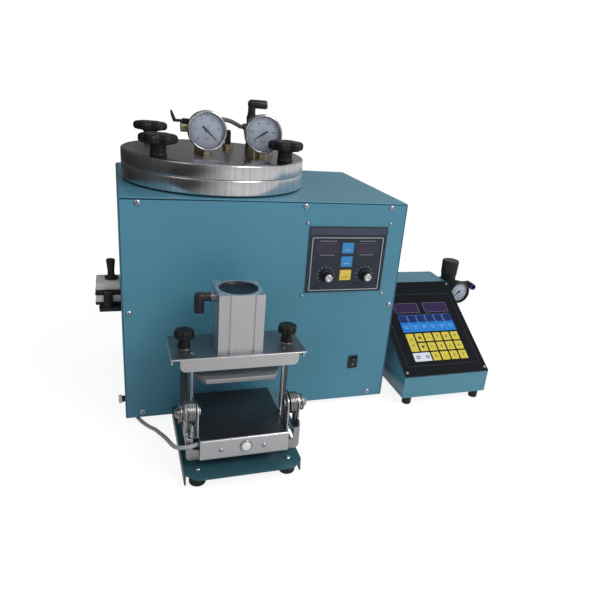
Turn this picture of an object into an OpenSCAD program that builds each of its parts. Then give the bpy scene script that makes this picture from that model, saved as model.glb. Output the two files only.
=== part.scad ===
// Bench wax injector: a heated vacuum tank in a sheet-metal cabinet, a pneumatic
// mould clamp in front of its nozzle, and the console that runs the clamp.
// Millimetres, +Z up, front towards -Y, origin at the bottom centre of the whole set.

/* [Cabinet] */
// Width of the cabinet
cab_w = 400; // [380:1:440]
// Depth of the cabinet
cab_d = 268; // [262:1:300]
// Height of the cabinet without its feet
cab_h = 318; // [300:1:350]
// Thickness of the cabinet and console sheet
sheet = 1.5; // [1:0.1:2]
// Width of the folds that the front panel is screwed to
fold = 14; // [12:1:18]
// Gap around each loose panel
panel_gap = 0.3; // [0.2:0.05:0.6]
// Height of the cabinet's rubber feet
foot_h = 8; // [7.5:0.5:12]
// Radius of the cabinet's rubber feet
foot_r = 11; // [9:0.5:14]
// How far the feet stand in from the cabinet's edges
foot_in = 32; // [24:1:40]
// Height of the panel screws above and below the front panel's edges
edge_screw_in = 7; // [6:0.5:8]

/* [Control panel] */
// Width of the dark control plate
plate_w = 120; // [112:1:126]
// Height of the dark control plate
plate_h = 98; // [92:1:104]
// Thickness of the control plate
plate_t = 1.6; // [1:0.1:2]
// Middle of the control plate, right of the cabinet's middle
plate_x = 112; // [108:1:120]
// Middle of the control plate above the cabinet's underside
plate_z = 234; // [226:1:242]
// Width of a display window on the control plate
window_w = 31; // [26:1:36]
// Height of a display window on the control plate
window_h = 13; // [10:1:15]
// Width of a key on the control plate
key_w = 18; // [14:1:20]
// Height of a key on the control plate
key_h = 16; // [12:1:18]
// Distance between neighbouring keys of the control plate
key_pitch = 20.5; // [19:0.5:22]
// Distance of the windows and turning knobs from the plate's middle
side_off = 30.5; // [28:0.5:34]
// Radius of a turning knob
pot_r = 7; // [5:0.5:9]
// Length of a turning knob
pot_len = 15; // [12:1:18]
// Radius of a turning knob's shaft
pot_shaft_r = 3; // [2.5:0.5:4]
// Width of the power rocker's bezel
rocker_w = 15; // [13:0.5:18]
// Height of the power rocker's bezel
rocker_h = 21; // [19:0.5:24]
// Middle of the power rocker, right of the cabinet's middle
rocker_x = 142; // [130:1:160]
// Middle of the power rocker above the cabinet's underside
rocker_z = 65; // [55:1:80]
// Angle of the power rocker to each side
rocker_tilt = 9; // [6:1:12]

/* [Tank and lid] */
// Axis of the tank, nozzle and clamp, left of the cabinet's middle
axis_off = 61; // [56:1:66]
// Axis of the tank behind the front face
tank_in = 137; // [134:1:140]
// Outer radius of the wax pot
pot_body_r = 98; // [90:1:99]
// Wall of the wax pot
pot_wall = 4; // [3:0.5:6]
// Space between the nozzle's axis and the wax pot above it
pot_space = 32; // [28:1:44]
// Outer radius of the lid and its ring
lid_r = 132; // [130:0.5:133]
// Thickness of the ring under the lid
ring_h = 21; // [19:0.5:24]
// Thickness of the lid
lid_h = 20; // [16:0.5:24]
// Thickness of the gasket under the ring
gasket_h = 2; // [1:0.5:3]
// Distance of the lid's studs from the tank's axis
stud_ring = 118.5; // [116:0.5:119]
// Angle of the lid's studs from the X axis
stud_angle = 43.5; // [41:0.5:46]
// Radius of the lid's studs
stud_r = 4; // [3:0.5:5]
// Radius of a hand knob's head
knob_r = 25.5; // [23:0.5:27]
// Thickness of a hand knob's head
knob_t = 13; // [10:1:15]
// Radius of a hand knob's stem
knob_stem_r = 9.5; // [8:0.5:11]
// Height of a hand knob's stem
knob_stem_h = 16; // [14:1:20]

/* [Gauges and lid fittings] */
// Radius of a lid gauge's case
gauge_r = 27; // [25:0.5:28]
// Depth of a lid gauge's case
gauge_d = 22; // [18:1:25]
// Middle of the lid gauges above the lid
gauge_z = 33; // [32.5:0.5:37]
// Left gauge, to the right of the tank's axis
gauge_left_x = -18.5; // [-22:0.5:-16]
// Right gauge, to the right of the tank's axis
gauge_right_x = 61; // [57:0.5:63]
// Gap between a hand knob's head and the gauge behind it
knob_gap = 1.2; // [1:0.1:4]
// Width across the flats of the fittings' hexagons
hex_af = 14; // [12:0.5:15]
// Radius of the threads that go into the lid
thread_r = 5; // [4:0.5:6]
// Height of the vent valve above the lid
vent_z = 33; // [31:1:36]
// Length of the vent lever
vent_arm = 17; // [14:1:20]
// Height of the black riser behind the right gauge
riser_h = 57; // [54:1:60]
// Radius of the black riser
riser_r = 7.2; // [6:0.2:8]
// Radius of the braided hose
hose_r = 3; // [2.5:0.25:3.5]

/* [Nozzle and side valves] */
// Height of the nozzle above the cabinet's underside
nozzle_z = 80; // [76:1:84]
// Radius of the nozzle's sleeve
nozzle_r = 12; // [10:0.5:14]
// Radius of the nozzle's tip
tip_r = 5; // [4:0.5:6]
// How far the nozzle's tip stands out of the cabinet
tip_out = 16; // [12:0.5:17]
// Stroke of the nozzle's spring valve
tip_stroke = 2.5; // [1.5:0.5:3]
// Width of the side valve blocks
side_w = 34; // [30:1:40]
// Depth of the side valve blocks
side_d = 36; // [30:1:44]
// Front of the side valve blocks behind the front face
side_in = 64; // [56:1:80]
// Underside of the side valve blocks above the cabinet's underside
side_z = 150; // [140:1:170]
// Height of each side valve block
side_h = 16.5; // [15:0.5:20]
// Radius of the side valve's knobs
side_knob_r = 6.2; // [5.4:0.2:7]

/* [Clamp] */
// Width of the clamp's base plate
base_w = 150; // [148:1:160]
// How far the base plate reaches in front of the cabinet
base_reach = 171; // [168:1:180]
// Height of the base plate's top above the bench
base_z = 20; // [18:1:22]
// Thickness of the clamp's sheets
clamp_t = 2; // [1.5:0.5:2.5]
// Radius of the slide rails under the carriage
rail_r = 5; // [4:0.5:6]
// Travel of the carriage towards the nozzle
feed_travel = 18; // [10:1:18]
// Width of the tray
tray_w = 112; // [108:1:114]
// Height of the tray's surface above the bench
tray_z = 62; // [60:1:64]
// How far the tray reaches in front of the cabinet
tray_reach = 154; // [152:1:156]
// Back edge of the tray in front of the cabinet
tray_back = 38; // [36:1:44]
// Height of the tray's front lip
lip_h = 27; // [22:1:30]
// Height of the tray's pivot above the bench
pivot_z = 91; // [88:1:94]
// Tray's pivot in front of the cabinet
pivot_y = 130; // [128:1:132]
// Radius of the tray's pivot pins
pin_r = 4; // [3:0.5:5]
// Radius of the torsion springs
spring_r = 14; // [12:0.5:15]
// Radius of the springs' wire
wire_r = 1.2; // [1:0.1:1.5]
// Radius of the guide rods
rod_r = 2; // [1.5:0.25:2.5]
// Guide rods in front of the cabinet
rod_y = 97; // [94:1:100]
// Distance of the hand knobs from the clamp's axis
post_x = 67; // [66:1:69]
// Hand knobs in front of the cabinet
post_y = 78; // [76:1:82]
// Radius of the start button
button_r = 6; // [5:0.5:7]
// Height of the start button above the bench
button_z = 49; // [47:1:50]

/* [Press] */
// Height of the bridge plate's top above the bench
bridge_z = 154; // [150:1:160]
// Width of the bridge plate
bridge_w = 170; // [168:1:176]
// Depth of the bridge plate
bridge_d = 70; // [68:1:72]
// Front edge of the bridge plate in front of the cabinet
bridge_front = 112; // [110:1:114]
// Height of the bridge plate's front flange
flange_h = 18; // [14:1:22]
// Width of the air cylinder's square body
cyl_w = 57; // [55:1:60]
// Height of the air cylinder's body
cyl_h = 77; // [74:1:90]
// Bore radius of the air cylinder
bore_r = 25; // [22:0.5:25.5]
// Axis of the air cylinder in front of the cabinet
cyl_y = 75; // [74:1:76]
// Radius of the piston rod
piston_r = 8; // [6:0.5:10]
// Travel of the press plate
press_travel = 40; // [20:1:40]
// Width of the press plate
press_w = 110; // [100:1:112]
// Depth of the press plate
press_d = 78; // [70:1:80]
// Thickness of the press plate
press_t = 6; // [4:0.5:8]
// Height of the press plate's underside above the bench
press_z = 118; // [116:1:120]
// Radius of the clamp's hand knobs
wing_r = 12.5; // [11:0.5:13]

/* [Console] */
// Width of the console
box_w = 156; // [150:1:170]
// Depth of the console
box_d = 235; // [232:1:250]
// Height of the console's back above the bench
box_h = 150; // [145:1:160]
// Height of the console's front above the bench
box_front_h = 52; // [50:1:58]
// Depth of the console's flat top
box_top_d = 64; // [58:1:68]
// Space between the cabinet and the console
box_gap = 24; // [20:1:30]
// Front of the console in front of the cabinet's face
box_reach = 31; // [26:1:36]
// Height of the console's rubber feet
box_foot_h = 15; // [13:1:16]
// Radius of the console's rubber feet
box_foot_r = 7.5; // [6:0.5:9]
// Thickness of the console's keypad panel
pad_t = 2; // [1.5:0.5:3]
// Width of one column of the keypad
pad_pitch_x = 17.3; // [16:0.1:18]
// Height of one row of the keypad
pad_pitch_y = 19.5; // [18:0.1:20]
// Radius of the regulator's knob
reg_r = 17; // [15:0.5:18]
// Height of the regulator's knob
reg_knob_h = 36; // [34:1:44]
// Width of the regulator's body
reg_w = 30; // [28:1:34]
// Height of the regulator's body
reg_h = 30; // [26:1:32]
// Underside of the regulator's body above the bench
reg_z = 115; // [108:1:118]
// Radius of the regulator's gauge
reg_gauge_r = 21; // [18:0.5:22]

/* [Fittings] */
// Radial clearance of a turning or sliding fit
run_fit = 0.05; // [0.03:0.01:0.08]
// Radial clearance of a screwed or pressed-in fit
seat_fit = 0.02; // [0.01:0.01:0.04]
// Radius of the hoses that the push-in fittings take
tube_r = 4; // [3:0.5:4]
// Radius of a push-in fitting's body
push_r = 6.2; // [6:0.2:7]
// Radius of a panel screw's thread
screw_r = 2; // [1.5:0.5:2.5]
// Radius of a panel screw's head
screw_head_r = 4; // [3.5:0.5:4.5]
// Radius of the start button's cable
cable_r = 2.6; // [2.2:0.2:2.8]

/* [Hidden] */
$fn = 64;
e = 0.5;                                   // how far a cut runs past a face

// Console outline: depth against height, from the front
box_y = -box_reach;
slope_run = box_d - box_top_d;
slope_rise = box_h - box_front_h;
slope_len = sqrt(slope_run * slope_run + slope_rise * slope_rise);
slope_angle = atan2(slope_rise, slope_run);
// Regulator, measured from the console's middle and front
reg_gap = 1;
reg_x = box_w / 2 + reg_gap + reg_gauge_r;
reg_y = box_d - 32;
reg_arm = 32;
reg_stub = 14;
elbow_x = reg_x + reg_w / 2 + reg_arm;
// Rear push-in fittings
port_len = 22;
// The set's reach from the cabinet's front middle, and the place of that point in the frame
left_reach = cab_w / 2 + side_w;
box_mid = cab_w / 2 + box_gap + box_w / 2;
right_reach = box_mid + elbow_x + push_r;
back_reach = cab_d + port_len;
cab_x = (left_reach - right_reach) / 2;
front_y = (base_reach - back_reach) / 2;

// Tank heights from the cabinet's top
pot_depth = cab_h - nozzle_z - pot_space;
heater_h = pot_depth * 0.58;
heater_low = pot_depth * 0.12;
ring_top = gasket_h + ring_h;
lid_top = ring_top + lid_h;
pot_lip = 5;
pot_lip_h = 3;
groove_r = pot_body_r + pot_lip + 2;
groove_w = 4;
groove_d = 2.4;
stud_deep = 15;
stud_out = 24;
// Four stud places: front left, front right, back left, back right
stud_places = [for (a = [180 + stud_angle, -stud_angle, 180 - stud_angle, stud_angle])
  [stud_ring * cos(a), stud_ring * sin(a)]];
// Gauges and fittings from the tank's axis
gauge_y = -stud_ring * sin(stud_angle) + knob_r + knob_gap + gauge_d / 2;
vent_x = -24;
vent_left = -51;
vent_hub_x = -44;
vent_right = 7;                            // from the vent's stem to its hose
vent_body_r = 6.5;
vent_y = gauge_y + gauge_d / 2 + vent_body_r + 7;
relief_x = 24;
relief_y = 24;
riser_x = 54;
riser_y = 2;
riser_base_h = 10;
riser_port_z = 37;
riser_port = 12;
lid_elbow_z = 70;
lid_elbow_arm = 19;
lid_ports = [[gauge_left_x, gauge_y], [gauge_right_x, gauge_y], [vent_x, vent_y],
  [relief_x, relief_y], [riser_x, riser_y]];
thread_len = 12;
gauge_wall = 1.7;
gauge_back = 2.5;
dial_level = 3;
dial_t = 1;
arbor_r = 0.75;
stem_top = gauge_z - gauge_r - 1;
// Hose from the riser's port to the vent valve, a hair off both: it leaves and arrives
// level, and between them these are how far along it is and how high it rises
cord_gap = 0.3;
hose_lead = 4;
hose_bow = [[0.2, 4.5], [0.37, 9], [0.58, 11.5], [0.74, 9.5], [0.84, 5]];
hose_from = [riser_x - riser_port - cord_gap, riser_y, riser_port_z];
hose_to = [vent_x + vent_right + cord_gap, vent_y, vent_z];
hose_points = concat([for (a = [0, 0.5, 1]) hose_from - [a * hose_lead, 0, 0]],
  [for (b = hose_bow) hose_from + b[0] * (hose_to - hose_from) + [0, 0, b[1]]],
  [for (a = [1, 0.5, 0]) hose_to + [a * hose_lead, 0, 0]]);

// Cabinet screws: place on the front panel and the small ones round the control plate
top_screw_z = cab_h - edge_screw_in;
front_screws = [[-177, top_screw_z], [44, top_screw_z], [174, top_screw_z],
  [-cab_w / 2 + 8.5, 162], [cab_w / 2 - 8.5, 160], [-177, edge_screw_in + 1],
  [174, edge_screw_in + 1]];
plate_screw_in = 3.5;
plate_screws = [for (i = [-1, 1]) for (j = [-1, 1])
  [plate_x + i * (plate_w / 2 + plate_screw_in), plate_z + j * (plate_h / 2 + 5)]];
small_screw_r = 1.5;
small_head_r = 2.6;
head_h = 2;
// Rows of the control plate from its middle
window_row = 18;
pot_row = -23;
// Rocker opening behind its bezel
rocker_cut_w = rocker_w - 2;
rocker_cut_h = rocker_h - 2;
rocker_depth = 14;
rocker_pin_r = 1;

// Clamp places
rail_x = 40;
rail_z = 36;
plate_under = tray_z - clamp_t - 6;        // top of the carriage plate
car_w = 2 * 72;
ear_x = tray_w / 2 + 14;                   // inner face of the carriage's outer ears
tray_ear_top = pivot_z + 12;
rod_x = tray_w / 2 + rod_r + 1;
cut_front = 132;
corner_in = tray_w / 2 + 8;
corner_top = tray_z + 2;
corner_low = tray_z - lip_h - 2;
lip_gap = 3.6;                             // lets the tray's lip swing as it tilts
tongue_w = 24;
tongue_h = 14;
post_r = 4.5;
screw_run = 12;                            // depth of a hand knob's screw in its post
wing_collar = 11;
base_feet = [for (i = [-1, 1]) for (y = [-149.5, -30]) [i * 58, y]];
base_foot_r = 10.5;
base_chamfer = 14;
base_flange = 17;
bridge_under = bridge_z - clamp_t;
cyl_floor = 12;
cap_down = 3;
cap_t = 6;
piston_t = 10;
piston_top = bridge_z + cyl_h - cap_down - cap_t - 2;
elbow_z = 220;
port_deep = cyl_w / 2 - bore_r - 0.3;            // keeps the elbow's end out of the bore
button_out = 2.5;
button_travel = 1.5;
switch_r = 8;
switch_len = 15;
button_x = 1;

// Cable route from the switch to the terminal in the cabinet, from the clamp's axis,
// the cabinet's front face and the bench
cable_points = [[-6.1, -143.5, 49], [-16, -144, 49.5], [-28, -144.6, 50.5],
  [-40, -145.4, 52], [-50, -147, 54], [-56, -149, 55.3], [-62, -151.6, 56.2],
  [-69, -153.9, 56.4], [-76, -153.9, 55.4], [-82, -150, 53], [-86, -141, 49.5],
  [-88.5, -128, 45], [-90.5, -112, 39], [-93, -94, 32], [-97, -72, 24], [-102, -49, 16],
  [-109, -27, 8], [-116, -8, 3.4], [-122, 6, 2.8], [-125, 15, 3.4], [-127, 22.5, 8],
  [-128, 29, 14.6], [-128, 33, 17], [-128, 35.5, 17], [-128, 38, 17]];
cable_end = cable_points[len(cable_points) - 1];
terminal = [18, 16, 22];

// ---- places of the groups ----
module at_cabinet() { translate([cab_x, front_y, foot_h]) children(); }
module at_tank(z = 0) {
  translate([cab_x - axis_off, front_y + tank_in, foot_h + cab_h + z]) children();
}
module at_clamp() { translate([cab_x - axis_off, front_y, 0]) children(); }
module at_console() { translate([cab_x + box_mid, front_y + box_y, 0]) children(); }
// The console's sloping face: X across, Y up the slope from its front edge, Z out of it
module at_slope() {
  at_console() translate([0, 0, box_front_h + seat_fit]) rotate([slope_angle, 0, 0]) children();
}

// ---- shared shapes ----
// Block centred on X, from y and z upwards
module block(size, at) { translate([at[0] - size[0] / 2, at[1], at[2]]) cube(size); }
// Cylinder that points towards the front
module rod_y(r, len) { rotate([90, 0, 0]) cylinder(r = r, h = len); }
// Cylinder that points to the right
module rod_x(r, len) { rotate([0, 90, 0]) cylinder(r = r, h = len); }
// Hexagon bar of a given width across its flats
module hex_bar(af, len) { cylinder(r = af / sqrt(3), h = len, $fn = 6); }
// Upright foot with a softened lower edge and a screw recess
module foot(r, h) {
  rotate_extrude() polygon([[2.5, h], [r, h], [r, 1.5], [r - 1.5, 0], [4.5, 0], [4.5, h / 2],
    [2.5, h / 2]]);
}
// Screw along -Z with its domed head above z = 0
module screw(head_r, r, len) {
  rotate_extrude() polygon([[0, -len], [r, -len], [r, 0], [head_r, 0], [head_r, head_h * 0.4],
    [head_r * 0.6, head_h], [0, head_h]]);
}
// Points along a smooth curve through hand-picked points
function curve_at(p, i, t) = let (n = len(p) - 1, a = p[max(i - 1, 0)], b = p[i], c = p[i + 1],
  d = p[min(i + 2, n)])
  0.5 * (2 * b + (c - a) * t + (2 * a - 5 * b + 4 * c - d) * t * t
    + (3 * b - a - 3 * c + d) * t * t * t);
function smooth(p, steps) = concat([for (i = [0 : len(p) - 2]) for (s = [0 : steps - 1])
  curve_at(p, i, s / steps)], [p[len(p) - 1]]);
function unit(v) = v / norm(v);
function heading(p, i) = unit(p[min(i + 1, len(p) - 1)] - p[max(i - 1, 0)]);
// Round tube of n sides swept along a path that is never upright
module tube_along(path, r, n) {
  rings = len(path);
  points = [for (i = [0 : rings - 1]) let (h = heading(path, i),
    side = unit(cross(h, [0, 0, 1])), top = cross(side, h))
    for (k = [0 : n - 1]) path[i] + r * (cos(360 * k / n) * side + sin(360 * k / n) * top)];
  walls = [for (i = [0 : rings - 2]) for (k = [0 : n - 1]) let (m = (k + 1) % n)
    each [[i * n + k, i * n + m, (i + 1) * n + m], [i * n + k, (i + 1) * n + m, (i + 1) * n + k]]];
  ends = [[for (k = [n - 1 : -1 : 0]) k], [for (k = [0 : n - 1]) (rings - 1) * n + k]];
  polyhedron(points = points, faces = concat(walls, ends));
}

// ---- cabinet ----
module wrap_cover() {
  inner_w = cab_w - 2 * sheet;
  color("cadetblue") at_cabinet() difference() {
    union() {
      difference() {
        block([cab_w, cab_d, cab_h], [0, 0, 0]);
        block([inner_w, cab_d + 2 * e, cab_h - sheet + e], [0, -e, -e]);
      }
      difference() {
        block([inner_w + e, sheet, cab_h - sheet / 2], [0, sheet, 0]);
        block([inner_w - 2 * fold, sheet + 2 * e, cab_h - sheet - fold + e], [0, sheet - e, -e]);
      }
    }
    translate([-axis_off, tank_in, cab_h - sheet - e])
      cylinder(r = pot_body_r + 3, h = sheet + 2 * e);
    for (s = front_screws) translate([s[0], 2 * sheet + e, s[1]])
      rod_y(screw_r + seat_fit, sheet + 2 * e);
  }
}
module front_panel() {
  color("cadetblue") at_cabinet() difference() {
    block([cab_w - 2 * (sheet + panel_gap), sheet, cab_h - sheet - panel_gap], [0, 0, 0]);
    block([plate_w - 16, sheet + 2 * e, plate_h - 16], [plate_x, -e, plate_z - plate_h / 2 + 8]);
    block([rocker_cut_w, sheet + 2 * e, rocker_cut_h], [rocker_x, -e, rocker_z - rocker_cut_h / 2]);
    translate([-axis_off, sheet + e, nozzle_z]) rod_y(nozzle_r + 1, sheet + 2 * e);
    for (s = front_screws) translate([s[0], sheet + e, s[1]])
      rod_y(screw_r + seat_fit, sheet + 2 * e);
    for (s = plate_screws) translate([s[0], sheet + e, s[1]])
      rod_y(small_screw_r + seat_fit, sheet + 2 * e);
  }
}
// Rear openings, from the cabinet's middle and underside: air, vacuum and mains
port_places = [[-150, 60], [-110, 60]];
port_hole_r = 6;
inlet = [30, 22, 24];
inlet_place = [130, 40];
module chassis() {
  inner_w = cab_w - 2 * (sheet + panel_gap);
  deep = cab_d - 2 * sheet - panel_gap;
  color("darkcyan") at_cabinet() difference() {
    union() {
      block([inner_w, deep, sheet], [0, 2 * sheet + panel_gap, 0]);
      block([inner_w - 2 * (fold + panel_gap), 2 * sheet, sheet], [0, sheet, 0]);
      block([inner_w - 2 * (fold + panel_gap), sheet, fold], [0, sheet, 0]);
      block([inner_w, sheet, cab_h - sheet - panel_gap], [0, cab_d - sheet, 0]);
    }
    for (s = front_screws) translate([s[0], 2 * sheet + e, s[1]])
      rod_y(screw_r + seat_fit, sheet + 2 * e);
    for (p = port_places) translate([p[0], cab_d + e, p[1]])
      rod_y(port_hole_r + seat_fit, sheet + 2 * e);
    block([inlet[0] - 4, sheet + 2 * e, inlet[2] - 4],
      [inlet_place[0], cab_d - sheet - e, inlet_place[1] + 2]);
    for (i = [0 : 7]) block([60, sheet + 2 * e, 4], [120, cab_d - sheet - e, 180 + 12 * i]);
    for (i = [-1, 1]) for (y = [foot_in, cab_d - foot_in])
      translate([i * (cab_w / 2 - foot_in), y, -e]) cylinder(r = 2.5, h = sheet + 2 * e);
    block([14, 22, sheet + 2 * e], [cable_end[0] - axis_off, cable_end[1] - 23, -e]);
  }
}
module rubber_feet() {
  color("dimgray") {
    at_cabinet() for (i = [-1, 1]) for (y = [foot_in, cab_d - foot_in])
      translate([i * (cab_w / 2 - foot_in), y, -foot_h]) foot(foot_r, foot_h);
    at_clamp() for (p = base_feet) translate([p[0], p[1], 0])
      foot(base_foot_r, base_z - clamp_t);
    at_console() for (i = [-1, 1]) for (y = [10, box_d - 14])
      translate([i * (box_w / 2 - 14), y, 0]) foot(box_foot_r, box_foot_h);
  }
}
pad_screws = [for (i = [-1, 1]) for (v = [8, slope_len - 6]) [i * (box_w / 2 - 5), v]];
module panel_screws() {
  color("silver") {
    at_cabinet() {
      for (s = front_screws) translate([s[0], 0, s[1]]) rotate([90, 0, 0])
        screw(screw_head_r, screw_r, 2 * sheet + 1);
      for (s = plate_screws) translate([s[0], 0, s[1]]) rotate([90, 0, 0])
        screw(small_head_r, small_screw_r, sheet + 3);
    }
    at_clamp() for (p = base_feet) translate([p[0], p[1], base_z])
      screw(screw_head_r, screw_r, clamp_t + 2);
    at_slope() for (s = pad_screws) translate([s[0], s[1], pad_t])
      screw(small_head_r, small_screw_r, pad_t + sheet + 1);
  }
}

// ---- control panel and keypad ----
module control_faces() {
  color("darkslategray") {
    at_cabinet() difference() {
      block([plate_w, plate_t, plate_h], [plate_x, -plate_t, plate_z - plate_h / 2]);
      for (i = [-1, 1]) {
        block([window_w + 0.4, plate_t + 2 * e, window_h + 0.4],
          [plate_x + i * side_off, -plate_t - e, plate_z + window_row - window_h / 2 - 0.2]);
        translate([plate_x + i * side_off, e, plate_z + pot_row])
          rod_y(pot_shaft_r + 0.6, plate_t + 2 * e);
      }
    }
    at_slope() difference() {
      block([box_w, slope_len, pad_t], [0, 0, 0]);
      for (s = pad_screws) translate([s[0], s[1], -e])
        cylinder(r = small_screw_r + seat_fit, h = pad_t + 2 * e);
      for (i = [-1, 1]) block([pad_window[0] + 0.4, pad_window[1] + 0.4, pad_t + 2 * e],
        [i * pad_window_x, pad_window_v - 0.2, -e]);
    }
  }
}
// Console windows: size, distance from the middle and place up the slope
pad_window = [45, 19];
pad_window_x = 29;
pad_window_v = 129;
key_proud = 0.4;
module display_windows() {
  color("indigo") {
    at_cabinet() for (i = [-1, 1])
      block([window_w, plate_t, window_h],
        [plate_x + i * side_off, -plate_t, plate_z + window_row - window_h / 2]);
    at_slope() for (i = [-1, 1]) block([pad_window[0], pad_window[1], pad_t],
      [i * pad_window_x, pad_window_v, 0]);
  }
}
// The keypad's rows up the slope: row number, first column and number of columns it spans
pad_low = 26;
pad_keys = [[0, 0, 2], [0, 2, 1], [0, 3, 1], [0, 4, 1], [0, 5, 1], [1, 1, 1], [1, 2, 1],
  [1, 3, 1], [1, 4, 1], [1, 5, 1], [2, 1, 1], [2, 2, 1], [2, 3, 1], [2, 4, 1], [2, 5, 1]];
pad_blue_low = 87;
module film_keys() {
  color("gold") {
    at_cabinet() for (i = [1, 0, -1]) block([key_w, key_proud, key_h],
      [plate_x, -plate_t - key_proud, plate_z - 2.5 + i * key_pitch - key_h / 2]);
    at_slope() {
      for (k = pad_keys) translate([(k[1] - 3) * pad_pitch_x + 0.7,
        pad_low + k[0] * pad_pitch_y + 0.7, pad_t])
        cube([k[2] * pad_pitch_x - 1.4, pad_pitch_y - 1.4, key_proud]);
      translate([-3 * pad_pitch_x + 0.7, pad_low + pad_pitch_y + 0.7, pad_t])
        cube([pad_pitch_x - 1.4, 2 * pad_pitch_y - 1.4, key_proud]);
      for (i = [0 : 5]) translate([(i - 3) * pad_pitch_x + 0.7, pad_blue_low, pad_t])
        cube([pad_pitch_x - 1.4, pad_pitch_y + 2, key_proud]);
      for (i = [0 : 5]) translate([(i - 3) * pad_pitch_x + 1.5, pad_blue_low + 23, pad_t])
        cube([pad_pitch_x - 3, 15, key_proud]);
    }
  }
}
// Turning knob on a shaft, with a lighter cap in front
module pot_knob(side) {
  at_cabinet() translate([plate_x + side * side_off, -plate_t - 0.5, plate_z + pot_row])
    rotate([90, 0, 0]) difference() {
      rotate_extrude() polygon([[0, 0], [pot_r + 1, 0], [pot_r + 1, 2], [pot_r, 3],
        [pot_r - 0.6, pot_len - 1], [pot_r - 1.4, pot_len], [0, pot_len]]);
      translate([0, 0, -e]) cylinder(r = pot_shaft_r + run_fit, h = pot_len - 3 + e);
    }
}
module pot_knob_left() { color("dimgray") pot_knob(-1); }
module pot_knob_right() { color("dimgray") pot_knob(1); }
coil_r = cab_w * 0.1;
module electrics() {
  board_y = sheet + 8;
  color("seagreen") {
    at_cabinet() {
      // Control board on its four spacers, with the two knobs' shafts
      block([plate_w + 6, 1.6, plate_h + 6], [plate_x, board_y, plate_z - plate_h / 2 - 3]);
      for (i = [-1, 1]) {
        translate([plate_x + i * side_off, board_y, plate_z + pot_row])
          rod_y(pot_shaft_r, board_y + plate_t + pot_len - 4);
        for (j = [-1, 1]) translate([plate_x + i * (plate_w / 2 - 4), board_y,
          plate_z + j * (plate_h / 2 - 4)]) rod_y(2.5, board_y - sheet);
      }
      // Transformer and power board on the floor
      translate([plate_x, cab_d * 0.7, sheet]) cylinder(r = coil_r, h = coil_r);
      block([2.2 * coil_r, cab_d * 0.26, coil_r * 0.6], [plate_x, cab_d * 0.19, sheet]);
      // Terminal that the start button's cable ends in
      translate([cable_end[0] - axis_off - terminal[0] / 2, cable_end[1] + cord_gap, sheet])
        cube(terminal);
    }
    // Console board on the floor of its case
    at_console() block([box_w * 0.75, box_d / 2, 20], [0, box_d / 4, box_foot_h + sheet]);
  }
}
module rocker_bezel() {
  color("dimgray") at_cabinet() difference() {
    union() {
      block([rocker_w, 2, rocker_h], [rocker_x, -2, rocker_z - rocker_h / 2]);
      block([rocker_cut_w - 0.2, rocker_depth + e, rocker_cut_h - 0.2],
        [rocker_x, -e, rocker_z - rocker_cut_h / 2 + 0.1]);
    }
    block([rocker_cut_w - 3, rocker_depth - 2 + 2, rocker_cut_h - 3],
      [rocker_x, -2 - e, rocker_z - rocker_cut_h / 2 + 1.5]);
    translate([rocker_x - rocker_cut_w / 2 + 0.7, 2, rocker_z])
      rod_x(rocker_pin_r + run_fit, rocker_cut_w - 1.4);
  }
}
module power_rocker() {
  w = rocker_cut_w - 3.6;
  h = rocker_cut_h - 5;
  color("black") at_cabinet() translate([rocker_x, 2, rocker_z]) {
    rotate([rocker_tilt, 0, 0]) translate([-w / 2, 0, 0]) rotate([90, 0, 90])
      linear_extrude(w) polygon([[1.5, -2.5], [-3, -h / 2], [-5, -h / 2], [-4, 0], [-5, h / 2],
        [-3, h / 2], [1.5, 2.5]]);
    translate([-w / 2 - 0.9, 0, 0]) rod_x(rocker_pin_r, w + 1.8);
  }
}

// ---- tank ----
module wax_tank() {
  r = pot_body_r;
  color("lightgray") at_tank() difference() {
    rotate_extrude($fn = 96) polygon([[0, -pot_depth], [r, -pot_depth],
      [r, ring_top - pot_lip_h], [r + pot_lip, ring_top - pot_lip_h], [r + pot_lip, ring_top],
      [r - pot_wall, ring_top], [r - pot_wall, -pot_depth + 6], [0, -pot_depth + 6]]);
    translate([0, -pot_outlet, -pot_depth - e]) cylinder(r = outlet_r + seat_fit, h = 6 + 2 * e);
  }
}
module tank_ring() {
  r = pot_body_r + seat_fit;
  lip = pot_body_r + pot_lip + seat_fit;
  color("silver") at_tank() difference() {
    rotate_extrude($fn = 96) polygon([[r, gasket_h], [lid_r - 1, gasket_h],
      [lid_r, gasket_h + 1], [lid_r, ring_top - 0.6], [lid_r - 0.6, ring_top],
      [groove_r + groove_w, ring_top], [groove_r + groove_w, ring_top - groove_d],
      [groove_r, ring_top - groove_d], [groove_r, ring_top], [lip, ring_top],
      [lip, ring_top - pot_lip_h], [r, ring_top - pot_lip_h]]);
    for (p = stud_places) translate([p[0], p[1], ring_top - stud_deep])
      cylinder(r = stud_r + seat_fit, h = stud_deep + e);
  }
}
module tank_heater() {
  color("goldenrod") at_tank(-pot_depth + heater_low) difference() {
    cylinder(r = pot_body_r + pot_wall, h = heater_h);
    translate([0, 0, -e]) cylinder(r = pot_body_r + seat_fit, h = heater_h + 2 * e);
  }
}
module tank_seals() {
  color("black") at_tank() rotate_extrude($fn = 96) {
    translate([pot_body_r + 4, 0]) square([lid_r - pot_body_r - 6, gasket_h - seat_fit]);
    translate([groove_r + seat_fit, ring_top - groove_d + seat_fit])
      square([groove_w - 2 * seat_fit, groove_d - seat_fit]);
  }
}
module lid_studs() {
  color("silver") at_tank(ring_top - stud_deep) for (p = stud_places)
    translate([p[0], p[1], 0]) cylinder(r = stud_r, h = stud_deep + lid_h + stud_out);
}
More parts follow.
